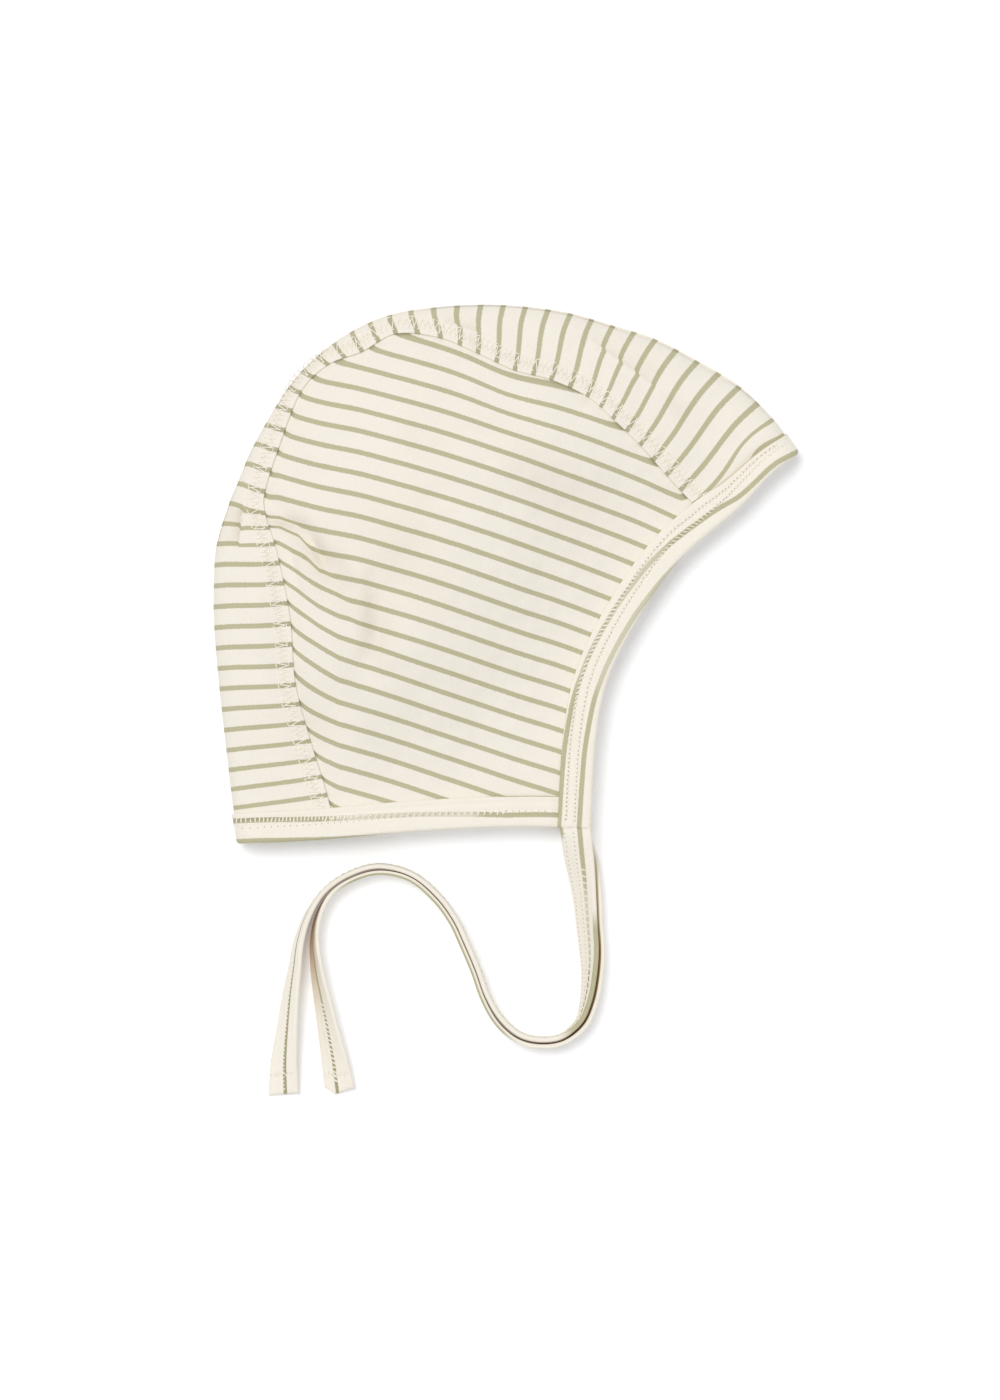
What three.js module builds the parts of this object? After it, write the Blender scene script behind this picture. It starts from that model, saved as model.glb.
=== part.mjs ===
// A striped jersey baby bonnet with a peak and two chin ties, lying flat on its left side, in millimetres.
// +X runs from the nape to the peak, +Y from the neck edge to the crown, +Z up from the surface it lies on.
import * as THREE from "three";

// Driving sizes
const BONNET_LENGTH = 176; // back of the head to the peak's tip, laid flat
const BONNET_HEIGHT = 162; // neck edge to crown, laid flat
const CLOTH = 1.0; // wall of the panels
const BINDING_WALL = 0.9; // each leaf of a folded binding
const FACE_BINDING_WIDTH = 10;
const NECK_BINDING_WIDTH = 9.3;
const FIT = 0.3; // clearance between pieces that are sewn to each other
const EDGE_RISE = 12; // height of the upper layer's bindings above the surface
const FOLD_DEPTH = 6; // how far in from the crown fold the cloth turns from one layer to the other
const LOFT = 15; // how much higher the middle of the upper layer stands than its bindings
const LOFT_REACH = 52; // how far in from an edge the upper layer goes on rising
const SETTLE = 12; // how far in from a binding the lower layer takes to reach the surface
const FOLD_RELIEF = 1; // scale of the folds listed in FOLDS
const TIE_WIDTH = 9.2;
const TIE_THICKNESS = 1.6;

// Detail of the faceted walls
const FOLD_STEPS = 5; // facets over each quarter turn of the crown fold
const ROWS_PER_SECTION = 2; // rows of facets between two rows of SECTIONS
const CENTRE_COLUMNS = 3; // columns of facets between the crown fold and the seam
const EDGE_STATION = 5.5; // longest facet along a binding
const TIE_STATION = 4; // longest facet along a tie

// Outline laid flat, as shares of BONNET_LENGTH from the back and of BONNET_HEIGHT from the neck.
// The centre panel's sections, from the neck to the face: its ends on the crown fold and on the side seam.
const SECTIONS = [
  { fold_along: 0.046, fold_up: 0.002, seam_along: 0.208, seam_up: 0.013 },
  { fold_along: 0.036, fold_up: 0.061, seam_along: 0.193, seam_up: 0.086 },
  { fold_along: 0.024, fold_up: 0.169, seam_along: 0.165, seam_up: 0.187 },
  { fold_along: 0.012, fold_up: 0.284, seam_along: 0.14, seam_up: 0.292 },
  { fold_along: 0.003, fold_up: 0.398, seam_along: 0.132, seam_up: 0.405 },
  { fold_along: 0.002, fold_up: 0.476, seam_along: 0.12, seam_up: 0.48 },
  { fold_along: 0.007, fold_up: 0.554, seam_along: 0.104, seam_up: 0.553 },
  { fold_along: 0.028, fold_up: 0.63, seam_along: 0.087, seam_up: 0.612 },
  { fold_along: 0.042, fold_up: 0.667, seam_along: 0.087, seam_up: 0.652 },
  { fold_along: 0.071, fold_up: 0.74, seam_along: 0.109, seam_up: 0.729 },
  { fold_along: 0.128, fold_up: 0.844, seam_along: 0.147, seam_up: 0.836 },
  { fold_along: 0.178, fold_up: 0.903, seam_along: 0.195, seam_up: 0.888 },
  { fold_along: 0.236, fold_up: 0.948, seam_along: 0.253, seam_up: 0.912 },
  { fold_along: 0.3, fold_up: 0.978, seam_along: 0.311, seam_up: 0.945 },
  { fold_along: 0.375, fold_up: 0.992, seam_along: 0.387, seam_up: 0.937 },
  { fold_along: 0.456, fold_up: 0.997, seam_along: 0.452, seam_up: 0.907 },
  { fold_along: 0.532, fold_up: 0.993, seam_along: 0.515, seam_up: 0.875 },
  { fold_along: 0.609, fold_up: 0.98, seam_along: 0.577, seam_up: 0.857 },
  { fold_along: 0.681, fold_up: 0.957, seam_along: 0.639, seam_up: 0.825 },
  { fold_along: 0.754, fold_up: 0.931, seam_along: 0.683, seam_up: 0.783 },
  { fold_along: 0.826, fold_up: 0.89, seam_along: 0.73, seam_up: 0.734 },
  { fold_along: 0.898, fold_up: 0.842, seam_along: 0.776, seam_up: 0.678 },
  { fold_along: 0.957, fold_up: 0.779, seam_along: 0.824, seam_up: 0.623 },
  { fold_along: 0.993, fold_up: 0.722, seam_along: 0.862, seam_up: 0.589 },
];
const CROWN_CORNER = 11; // the row of SECTIONS where the side panel's back edge becomes its top edge

// The neck edge, from the nape to the chin.
const NECK_EDGE = [
  { along: 0.046, up: 0.002 },
  { along: 0.181, up: 0.01 },
  { along: 0.317, up: 0.023 },
  { along: 0.454, up: 0.032 },
  { along: 0.556, up: 0.034 },
  { along: 0.642, up: 0.03 },
];

// The face edge, from the chin to the peak's tip.
const FACE_EDGE = [
  { along: 0.642, up: 0.03 },
  { along: 0.646, up: 0.121 },
  { along: 0.652, up: 0.204 },
  { along: 0.667, up: 0.292 },
  { along: 0.696, up: 0.368 },
  { along: 0.744, up: 0.457 },
  { along: 0.795, up: 0.53 },
  { along: 0.848, up: 0.581 },
  { along: 0.898, up: 0.627 },
  { along: 0.952, up: 0.689 },
  { along: 0.993, up: 0.722 },
];

// Folds and dents of the upper layer: centre, direction in degrees from +X, half length and half width as
// shares of BONNET_LENGTH, and rise in millimetres.
const FOLDS = [
  { along: 0.165, up: 0.56, turn: -46, length: 0.09, width: 0.018, rise: -2.6 },
  { along: 0.244, up: 0.43, turn: -88, length: 0.12, width: 0.026, rise: 2.0 },
  { along: 0.275, up: 0.38, turn: 74, length: 0.1, width: 0.026, rise: -1.6 },
  { along: 0.317, up: 0.51, turn: 20, length: 0.08, width: 0.05, rise: -1.3 },
  { along: 0.275, up: 0.8, turn: -20, length: 0.09, width: 0.045, rise: -1.2 },
  { along: 0.556, up: 0.64, turn: -15, length: 0.13, width: 0.055, rise: -1.5 },
  { along: 0.19, up: 0.23, turn: 80, length: 0.09, width: 0.045, rise: -1.2 },
  { along: 0.118, up: 0.4, turn: 92, length: 0.13, width: 0.022, rise: 1.3 },
  { along: 0.05, up: 0.6, turn: 25, length: 0.045, width: 0.018, rise: -1.2 },
];

// The route of the two ties from the chin, where they lie side by side: east and north of the chin's corner, half
// the distance between them, how far they lean from flat to standing on edge, in degrees, and how much higher the
// right tie lies. The points were chosen by hand, in millimetres.
const TIE_ROUTE = [
  { east: -3.4, north: -0.3, spread: 1.2, lean: 4, rise: 10.9 },
  { east: -3, north: -6.4, spread: 0.8, lean: 14, rise: 8 },
  { east: -1.8, north: -13.9, spread: 0.8, lean: 33, rise: 4.3 },
  { east: -0.8, north: -21.4, spread: 0.9, lean: 46, rise: 1.9 },
  { east: -0.2, north: -28.9, spread: 0.86, lean: 51, rise: 1.2 },
  { east: 0.5, north: -36.4, spread: 0.92, lean: 56, rise: 0.9 },
  { east: 0.6, north: -43.9, spread: 0.98, lean: 66, rise: 0.6 },
  { east: -0.3, north: -51.4, spread: 1, lean: 74, rise: 0.3 },
  { east: -2.6, north: -58.3, spread: 1, lean: 84, rise: 0 },
  { east: -8.1, north: -63.2, spread: 1, lean: 90, rise: 0 },
  { east: -14.9, north: -64.3, spread: 1, lean: 90, rise: 0 },
  { east: -21.6, north: -62.7, spread: 1, lean: 90, rise: 0 },
  { east: -27.4, north: -57.8, spread: 1, lean: 90, rise: 0 },
  { east: -31.7, north: -50.8, spread: 1, lean: 90, rise: 0 },
  { east: -34.7, north: -42.6, spread: 1, lean: 90, rise: 0 },
  { east: -38, north: -34.8, spread: 1, lean: 90, rise: 0 },
  { east: -41.4, north: -27.6, spread: 1, lean: 90, rise: 0 },
  { east: -46.4, north: -20.8, spread: 1, lean: 90, rise: 0 },
  { east: -53.9, north: -14.6, spread: 1, lean: 90, rise: 0 },
  { east: -63.5, north: -12.2, spread: 1, lean: 90, rise: 0 },
  { east: -72.3, north: -14.6, spread: 1, lean: 90, rise: 0 },
  { east: -79.1, north: -19.4, spread: 1.1, lean: 89, rise: 0 },
  { east: -83.3, north: -26.4, spread: 1.6, lean: 83, rise: 0 },
  { east: -85.2, north: -34.2, spread: 2.4, lean: 76, rise: 0 },
  { east: -85.5, north: -42.4, spread: 3.4, lean: 68, rise: 0 },
  { east: -85.4, north: -51, spread: 4.8, lean: 58, rise: 0 },
  { east: -84.8, north: -60.4, spread: 6.2, lean: 47, rise: 0 },
  { east: -84, north: -70, spread: 7.6, lean: 29, rise: 0 },
  { east: -83.1, north: -79.8, spread: 8.5, lean: 8, rise: 0 },
];

// Places worked out from the driving sizes
const PANEL_GAP = CLOTH / 2 + FIT; // from the middle of the cloth to the leaf of a binding
const BINDING_HALF = PANEL_GAP + BINDING_WALL; // half of a binding's whole thickness
const PANEL_INSET = BINDING_WALL + 2 * FIT; // from a binding's folded edge to the edge of the cloth inside it
const FOLD_LEVEL = (EDGE_RISE + BINDING_HALF) / 2; // height of the crown fold

// A smooth curve through evenly paced values, read at a share from 0 to 1.
function through(values, share) {
  const last = values.length - 1;
  const place = THREE.MathUtils.clamp(share, 0, 1) * last;
  const i = Math.min(Math.floor(place), last - 1);
  const value = (k) => {
    if (k < 0) return 2 * values[0] - values[1];
    if (k > last) return 2 * values[last] - values[last - 1];
    return values[k];
  };
  const [a, b, c, d] = [value(i - 1), value(i), value(i + 1), value(i + 2)];
  const t = place - i;
  return b + 0.5 * t * (c - a + t * (2 * a - 5 * b + 4 * c - d + t * (3 * (b - c) + d - a)));
}

// A plan curve through a table's rows, read at a share from 0 to 1.
function planCurve(rows, along, up) {
  const xs = rows.map((row) => BONNET_LENGTH * row[along]);
  const ys = rows.map((row) => BONNET_HEIGHT * row[up]);
  return (share) => new THREE.Vector2(through(xs, share), through(ys, share));
}

// The same curve read at a distance from its start, with its length.
function paced(curve, steps = 240) {
  const lengths = [0];
  for (let i = 1; i <= steps; i++) {
    lengths.push(lengths[i - 1] + curve((i - 1) / steps).distanceTo(curve(i / steps)));
  }
  const at = (distance) => {
    const wanted = THREE.MathUtils.clamp(distance, 0, lengths[steps]);
    let i = 1;
    while (i < steps && lengths[i] < wanted) i++;
    const part = (wanted - lengths[i - 1]) / (lengths[i] - lengths[i - 1]);
    return curve((i - 1 + part) / steps);
  };
  return { at, length: lengths[steps] };
}

const crownFold = planCurve(SECTIONS, "fold_along", "fold_up");
const sideSeam = planCurve(SECTIONS, "seam_along", "seam_up");
const neckEdge = paced(planCurve(NECK_EDGE, "along", "up"));
const faceEdge = paced(planCurve(FACE_EDGE, "along", "up"));

const soften = (value) => THREE.MathUtils.smoothstep(value, 0, 1);
const steps = (count, make) => Array.from({ length: count + 1 }, (_, i) => make(i / count));
const mix = (a, b, share) => a.clone().lerp(b, share);

// Distance from a plan point to a curve, from points along the curve.
function distanceTo(points) {
  const span = new THREE.Vector2();
  const reach = new THREE.Vector2();
  return (p) => {
    let least = Infinity;
    for (let i = 1; i < points.length; i++) {
      span.subVectors(points[i], points[i - 1]);
      reach.subVectors(p, points[i - 1]);
      const share = THREE.MathUtils.clamp(reach.dot(span) / span.lengthSq(), 0, 1);
      least = Math.min(least, reach.addScaledVector(span, -share).length());
    }
    return least;
  };
}
const toFold = distanceTo(steps(160, crownFold));
const toNeck = distanceTo(steps(30, (share) => neckEdge.at(share * neckEdge.length)));
const toFace = distanceTo(steps(50, (share) => faceEdge.at(share * faceEdge.length)));

// Height that the folds and dents add to the upper layer at a plan point.
function foldRelief(p) {
  let rise = 0;
  for (const fold of FOLDS) {
    const turn = THREE.MathUtils.degToRad(fold.turn);
    const dx = p.x - BONNET_LENGTH * fold.along;
    const dy = p.y - BONNET_HEIGHT * fold.up;
    const lengthwise = (dx * Math.cos(turn) + dy * Math.sin(turn)) / (BONNET_LENGTH * fold.length);
    const crosswise = (dy * Math.cos(turn) - dx * Math.sin(turn)) / (BONNET_LENGTH * fold.width);
    rise += fold.rise * Math.exp(-(lengthwise ** 2) - crosswise ** 2);
  }
  return FOLD_RELIEF * rise;
}

// Middle of the cloth over a plan point: side 1 is the upper layer, -1 the lower one, 0 the crown fold itself.
function clothAt(p, side) {
  const fromFold = toFold(p);
  const fromNeck = toNeck(p) - NECK_BINDING_WIDTH;
  const fromFace = toFace(p) - FACE_BINDING_WIDTH;
  const unbound = soften(Math.min(fromNeck, fromFace) / SETTLE);
  const turned = 1 - Math.min(fromFold / FOLD_DEPTH, 1);
  const opened = side === 0 ? 0 : Math.sqrt(1 - turned * turned);
  let level;
  if (side > 0) {
    const dome = soften(fromFold / LOFT_REACH) * soften(fromNeck / LOFT_REACH) * soften(fromFace / LOFT_REACH);
    level = EDGE_RISE + LOFT * dome + foldRelief(p) * unbound;
  } else {
    level = BINDING_HALF + (CLOTH / 2 - BINDING_HALF) * unbound;
  }
  return new THREE.Vector3(p.x, p.y, FOLD_LEVEL + (level - FOLD_LEVEL) * opened);
}

// A binding's band in plan: reads a point at a distance from the crown fold along the edge and a distance inwards
// from the edge. Beside the fold the band runs inwards along the fold itself.
function bandAlong(edge, width, foldIsLast) {
  const step = 0.5;
  const corner = crownFold(foldIsLast ? 1 : 0);
  const foldLine = paced(crownFold);
  const foldward = foldLine.at(foldIsLast ? foldLine.length - width : width).sub(corner).normalize();
  return (fromFold, inwards) => {
    const place = foldIsLast ? edge.length - fromFold : fromFold;
    const ahead = edge.at(Math.min(place + step, edge.length));
    const way = ahead.sub(edge.at(Math.max(place - step, 0))).normalize();
    const across = new THREE.Vector2(-way.y, way.x);
    across.lerp(foldward, 1 - soften(fromFold / (2 * FOLD_DEPTH))).normalize();
    return edge.at(place).addScaledVector(across, inwards);
  };
}
const neckBand = bandAlong(neckEdge, NECK_BINDING_WIDTH, false);
const faceBand = bandAlong(faceEdge, FACE_BINDING_WIDTH, true);

function meshOf(points, triangles) {
  const geometry = new THREE.BufferGeometry();
  geometry.setAttribute("position", new THREE.Float32BufferAttribute(points.flatMap((p) => p.toArray()), 3));
  geometry.setIndex(triangles);
  geometry.computeVertexNormals();
  return geometry;
}

// A cloth wall of one thickness about a grid of points, with closed edges.
function clothWall(grid) {
  const rows = grid.length;
  const columns = grid[0].length;
  const at = (i, j) => grid[THREE.MathUtils.clamp(i, 0, rows - 1)][THREE.MathUtils.clamp(j, 0, columns - 1)];
  const outer = [];
  const inner = [];
  for (let i = 0; i < rows; i++) {
    for (let j = 0; j < columns; j++) {
      const down = new THREE.Vector3().subVectors(at(i + 1, j), at(i - 1, j));
      const across = new THREE.Vector3().subVectors(at(i, j + 1), at(i, j - 1));
      const normal = down.cross(across).normalize();
      outer.push(at(i, j).clone().addScaledVector(normal, CLOTH / 2));
      inner.push(at(i, j).clone().addScaledVector(normal, -CLOTH / 2));
    }
  }
  const triangles = [];
  const quad = (a, b, c, d) => triangles.push(a, b, c, a, c, d);
  const back = rows * columns;
  for (let i = 0; i + 1 < rows; i++) {
    for (let j = 0; j + 1 < columns; j++) {
      const [a, b, c, d] = [i * columns + j, (i + 1) * columns + j, (i + 1) * columns + j + 1, i * columns + j + 1];
      quad(a, b, c, d);
      quad(back + d, back + c, back + b, back + a);
    }
  }
  const rim = [];
  for (let i = 0; i + 1 < rows; i++) rim.push(i * columns);
  for (let j = 0; j + 1 < columns; j++) rim.push((rows - 1) * columns + j);
  for (let i = rows - 1; i > 0; i--) rim.push(i * columns + columns - 1);
  for (let j = columns - 1; j > 0; j--) rim.push(j);
  rim.forEach((a, k) => {
    const b = rim[(k + 1) % rim.length];
    quad(b, a, back + a, back + b);
  });
  return meshOf([...outer, ...inner], triangles);
}

// A solid swept through rings of equal length that all run the same way round, with its two ends closed by the
// flat outline that the rings were made from.
function sweep(rings, outline) {
  const size = outline.length;
  const triangles = [];
  for (let i = 0; i + 1 < rings.length; i++) {
    for (let k = 0; k < size; k++) {
      const [a, b] = [i * size + k, i * size + ((k + 1) % size)];
      triangles.push(a, b, b + size, a, b + size, a + size);
    }
  }
  const last = (rings.length - 1) * size;
  for (const [a, b, c] of THREE.ShapeUtils.triangulateShape(outline, [])) {
    triangles.push(c, b, a, last + a, last + b, last + c);
  }
  return meshOf(rings.flat(), triangles);
}

// A curve whose two ends are drawn to given points, with its middle left as it is.
function pinned(curve, start, end) {
  const low = start.clone().sub(curve(0));
  const high = end.clone().sub(curve(1));
  return (share) => curve(share).addScaledVector(low, (1 - share) ** 4).addScaledVector(high, share ** 4);
}

// A Coons patch: left and right run from the bottom to the top, bottom and top from the left to the right.
function patch({ left, right, bottom, top }) {
  const leftSide = pinned(left, bottom(0), top(0));
  const rightSide = pinned(right, bottom(1), top(1));
  return (u, v) => {
    const upright = mix(leftSide(v), rightSide(v), u);
    const level = mix(bottom(u), top(u), v);
    const corners = mix(mix(bottom(0), bottom(1), u), mix(top(0), top(1), u), v);
    return upright.add(level).sub(corners);
  };
}

// Where the seam meets the neck edge and the face edge, as distances from the crown fold
const neckStart = SECTIONS[0];
const peakEnd = SECTIONS[SECTIONS.length - 1];
const neckSeam = BONNET_LENGTH * (neckStart.seam_along - neckStart.fold_along);
const faceSeam = Math.hypot(
  BONNET_LENGTH * (peakEnd.fold_along - peakEnd.seam_along),
  BONNET_HEIGHT * (peakEnd.fold_up - peakEnd.seam_up),
);
const seamLine = pinned(sideSeam, neckBand(neckSeam, PANEL_INSET), faceBand(faceSeam, PANEL_INSET));

// The edge of a panel at the seam, half of the sewing clearance to one side: 1 is the side panel's, -1 the centre's.
function seamEdge(share, panel) {
  const step = 0.002;
  const way = seamLine(Math.min(share + step, 1)).sub(seamLine(Math.max(share - step, 0))).normalize();
  return seamLine(share).add(new THREE.Vector2(way.y, -way.x).multiplyScalar((panel * FIT) / 2));
}

// The side panel of one layer: side 1 is the upper layer, -1 the lower one.
function sidePanel(side) {
  const corner = CROWN_CORNER / (SECTIONS.length - 1);
  const [neckFrom, neckTo] = [neckSeam + FIT / 2, neckEdge.length - PANEL_INSET];
  const [faceFrom, faceTo] = [faceEdge.length - PANEL_INSET, faceSeam + FIT / 2];
  const plan = patch({
    left: (v) => seamEdge(v * corner, 1),
    top: (u) => seamEdge(corner + u * (1 - corner), 1),
    bottom: (u) => neckBand(neckFrom + u * (neckTo - neckFrom), PANEL_INSET),
    right: (v) => faceBand(faceFrom + v * (faceTo - faceFrom), PANEL_INSET),
  });
  const rows = CROWN_CORNER * ROWS_PER_SECTION;
  const columns = (SECTIONS.length - 1 - CROWN_CORNER) * ROWS_PER_SECTION;
  return clothWall(steps(rows, (v) => steps(columns, (u) => clothAt(plan(u, v), side))));
}

// Distances from the crown fold that follow its quarter turn in equal angles.
const turnSteps = steps(FOLD_STEPS, (share) => FOLD_DEPTH * (1 - Math.cos((share * Math.PI) / 2)));

// The centre panel: each row runs from the upper seam over the crown fold to the lower seam.
function centrePanel() {
  const plan = patch({
    left: crownFold,
    right: (v) => seamEdge(v, -1),
    bottom: (u) => neckBand(u * (neckSeam - FIT / 2), PANEL_INSET),
    top: (u) => faceBand(u * (faceSeam - FIT / 2), PANEL_INSET),
  });
  const turnShare = 0.6; // most of a narrow section that its turn may take
  const rowAt = (v) => {
    const width = plan(0, v).distanceTo(plan(1, v));
    const turnWidth = Math.min(1, (turnShare * width) / FOLD_DEPTH) / width;
    const turn = turnSteps.map((distance) => distance * turnWidth);
    const turned = turn[FOLD_STEPS];
    const flat = steps(CENTRE_COLUMNS, (share) => turned + share * (1 - turned)).slice(1);
    const half = (side) => [...turn, ...flat].slice(1).map((u) => clothAt(plan(u, v), side));
    return [...half(1).reverse(), clothAt(plan(0, v), 0), ...half(-1)];
  };
  return clothWall(steps((SECTIONS.length - 1) * ROWS_PER_SECTION, rowAt));
}

// A binding round an edge of both layers: a strip folded over the cloth, from the lower layer's far end round the
// crown fold to the upper layer's.
function binding(band, reach, width) {
  const flatCount = Math.ceil((reach - FOLD_DEPTH) / EDGE_STATION);
  const flat = steps(flatCount, (share) => FOLD_DEPTH + share * (reach - FOLD_DEPTH)).slice(1);
  const half = [...turnSteps, ...flat];
  const stations = [...half.slice(1).reverse().map((distance) => -distance), ...half];
  const middle = (station, inwards) => clothAt(band(Math.abs(station), inwards), Math.sign(station));
  const bevel = BINDING_WALL / 2;
  const outline = [
    [width, -BINDING_HALF],
    [width, -PANEL_GAP],
    [BINDING_WALL, -PANEL_GAP],
    [BINDING_WALL, PANEL_GAP],
    [width, PANEL_GAP],
    [width, BINDING_HALF],
    [bevel, BINDING_HALF],
    [0, BINDING_HALF - bevel],
    [0, bevel - BINDING_HALF],
    [bevel, -BINDING_HALF],
  ].map(([inwards, off]) => new THREE.Vector2(inwards, off));
  const step = 0.2;
  const rings = stations.map((station) =>
    outline.map(({ x: inwards, y: off }) => {
      const along = middle(Math.min(station + step, reach), inwards);
      along.sub(middle(Math.max(station - step, -reach), inwards));
      const across = middle(station, inwards + step).sub(middle(station, inwards));
      const normal = along.cross(across).normalize();
      return middle(station, inwards).addScaledVector(normal, off);
    }),
  );
  return sweep(rings, outline);
}

// One of the two ties, a flat tape: side 1 is the right tie, which comes from the upper layer, -1 the left one.
function tie(side) {
  const column = (name) => {
    const values = TIE_ROUTE.map((row) => row[name]);
    return (share) => through(values, share);
  };
  const [east, north, spread, lean, rise] = ["east", "north", "spread", "lean", "rise"].map(column);
  const chin = faceEdge.at(0);
  const route = (share) => new THREE.Vector2(chin.x + east(share), chin.y + north(share));
  const [a, b] = [TIE_WIDTH / 2, TIE_THICKNESS / 2];
  const bevel = 0.45 * b;
  const outline = [
    [a - bevel, -b],
    [a, bevel - b],
    [a, b - bevel],
    [a - bevel, b],
    [bevel - a, b],
    [-a, b - bevel],
    [-a, bevel - b],
    [bevel - a, -b],
  ].map(([wide, thick]) => new THREE.Vector2(wide, thick));
  const step = 0.002;
  const ring = (share) => {
    const way = route(Math.min(share + step, 1)).sub(route(Math.max(share - step, 0))).normalize();
    const beside = new THREE.Vector3(-way.y, way.x, 0);
    const angle = THREE.MathUtils.degToRad(lean(share));
    const wide = beside.clone().multiplyScalar(Math.cos(angle)).setZ(Math.sin(angle));
    const thick = beside.clone().multiplyScalar(-Math.sin(angle)).setZ(Math.cos(angle));
    const resting = a * Math.sin(angle) + b * Math.cos(angle);
    const middle = new THREE.Vector3(...route(share).toArray(), resting + (side > 0 ? rise(share) : 0));
    middle.addScaledVector(beside, -side * spread(share));
    return outline.map((p) => middle.clone().addScaledVector(wide, p.x).addScaledVector(thick, p.y));
  };
  const count = Math.ceil(paced(route).length / TIE_STATION);
  return sweep(steps(count, ring), outline);
}

// Materials
const jersey = new THREE.MeshStandardMaterial({ color: 0xf4ede1, roughness: 0.92, metalness: 0 });
const bindingJersey = new THREE.MeshStandardMaterial({ color: 0xf1eadb, roughness: 0.9, metalness: 0 });
const tieJersey = new THREE.MeshStandardMaterial({ color: 0xefe6d6, roughness: 0.9, metalness: 0 });

function named(name, geometry, material) {
  const mesh = new THREE.Mesh(geometry, material);
  mesh.name = name;
  return mesh;
}

const neckReach = neckEdge.length - FACE_BINDING_WIDTH - 2 * FIT; // the neck binding stops beside the face binding
const bonnet = new THREE.Group();
bonnet.add(
  named("right_side_panel", sidePanel(1), jersey),
  named("left_side_panel", sidePanel(-1), jersey),
  named("centre_panel", centrePanel(), jersey),
  named("neck_binding", binding(neckBand, neckReach, NECK_BINDING_WIDTH), bindingJersey),
  named("face_binding", binding(faceBand, faceEdge.length, FACE_BINDING_WIDTH), bindingJersey),
);

// The origin is under the middle of the bonnet itself, on the surface.
const extent = new THREE.Box3().setFromObject(bonnet);
const middle = extent.getCenter(new THREE.Vector3());
bonnet.add(named("right_tie", tie(1), tieJersey), named("left_tie", tie(-1), tieJersey));
bonnet.position.set(-middle.x, -middle.y, -extent.min.z);

const group = new THREE.Group();
group.add(bonnet);
export default group;
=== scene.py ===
"""A striped jersey baby bonnet lying flat on its left side, built round the frame that was made in CAD.

Plan positions are worked out in millimetres from the nape's corner, X towards the peak and Y towards the
crown, as in the CAD source. to_frame turns them into metres of the row frame.
"""

import math

import bpy
import numpy as np
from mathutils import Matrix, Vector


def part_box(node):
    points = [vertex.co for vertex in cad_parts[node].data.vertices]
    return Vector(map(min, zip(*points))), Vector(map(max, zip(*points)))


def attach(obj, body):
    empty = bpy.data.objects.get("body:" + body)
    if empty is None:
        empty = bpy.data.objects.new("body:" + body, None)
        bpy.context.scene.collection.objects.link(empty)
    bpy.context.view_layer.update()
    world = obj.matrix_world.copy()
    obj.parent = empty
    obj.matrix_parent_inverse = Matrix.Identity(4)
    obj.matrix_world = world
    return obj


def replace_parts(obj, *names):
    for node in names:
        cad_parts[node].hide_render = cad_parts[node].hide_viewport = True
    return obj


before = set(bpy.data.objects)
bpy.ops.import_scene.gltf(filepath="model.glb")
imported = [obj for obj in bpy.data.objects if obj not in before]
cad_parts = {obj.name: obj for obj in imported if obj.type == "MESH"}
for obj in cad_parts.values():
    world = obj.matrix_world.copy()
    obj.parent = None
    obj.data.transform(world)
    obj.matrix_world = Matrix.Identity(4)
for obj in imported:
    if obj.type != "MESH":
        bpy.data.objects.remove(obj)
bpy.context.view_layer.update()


def table(names, rows):
    """The rows of a table, each with its numbers under the names of the columns."""
    return [dict(zip(names.split(), row)) for row in rows]


# Driving sizes in millimetres, as in the CAD source
BONNET_LENGTH = 176
BONNET_HEIGHT = 162
CAD_CLOTH = 1.0
BINDING_WALL = 0.9
FACE_BINDING_WIDTH = 10
NECK_BINDING_WIDTH = 9.3
FIT = 0.3
EDGE_RISE = 12
FOLD_DEPTH = 6
LOFT = 15
LOFT_REACH = 52
SETTLE = 12
TIE_WIDTH = 9.2
TIE_THICKNESS = 1.6

# Sizes that only the visual pieces have
CLOTH = 0.76
FOLDED_WALL = 0.78
FOLDED_HALF = 1.25
TIE_CLOTH = {1: 1.5, -1: 1.4}
STRIPE_PITCH = 6.4
LAP_RISE = 0.42
LAP_REACH = 2.4

# The centre panel's sections, from the neck to the face: the stripe that each follows, and its ends on the
# crown fold and on the side seam, as shares of the bonnet's length and height.
SECTIONS = table("stripe fold_along fold_up seam_along seam_up", [
    (-0.9, 0.046, 0.002, 0.208, 0.013),
    (1, 0.036, 0.061, 0.193, 0.086),
    (4, 0.024, 0.169, 0.165, 0.187),
    (7, 0.012, 0.284, 0.14, 0.292),
    (10, 0.003, 0.398, 0.132, 0.405),
    (12, 0.002, 0.476, 0.12, 0.48),
    (14, 0.007, 0.554, 0.104, 0.553),
    (16, 0.028, 0.63, 0.087, 0.612),
    (17, 0.042, 0.667, 0.087, 0.652),
    (19, 0.071, 0.74, 0.109, 0.729),
    (22, 0.128, 0.844, 0.147, 0.836),
    (24, 0.178, 0.903, 0.195, 0.888),
    (26, 0.236, 0.948, 0.253, 0.912),
    (28, 0.3, 0.978, 0.311, 0.945),
    (30, 0.375, 0.992, 0.387, 0.937),
    (32, 0.456, 0.997, 0.452, 0.907),
    (34, 0.532, 0.993, 0.515, 0.875),
    (36, 0.609, 0.98, 0.577, 0.857),
    (38, 0.681, 0.957, 0.639, 0.825),
    (40, 0.754, 0.931, 0.683, 0.783),
    (42, 0.826, 0.89, 0.73, 0.734),
    (44, 0.898, 0.842, 0.776, 0.678),
    (46, 0.957, 0.779, 0.824, 0.623),
    (48, 0.993, 0.722, 0.862, 0.589),
])
CROWN_CORNER = 11

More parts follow.
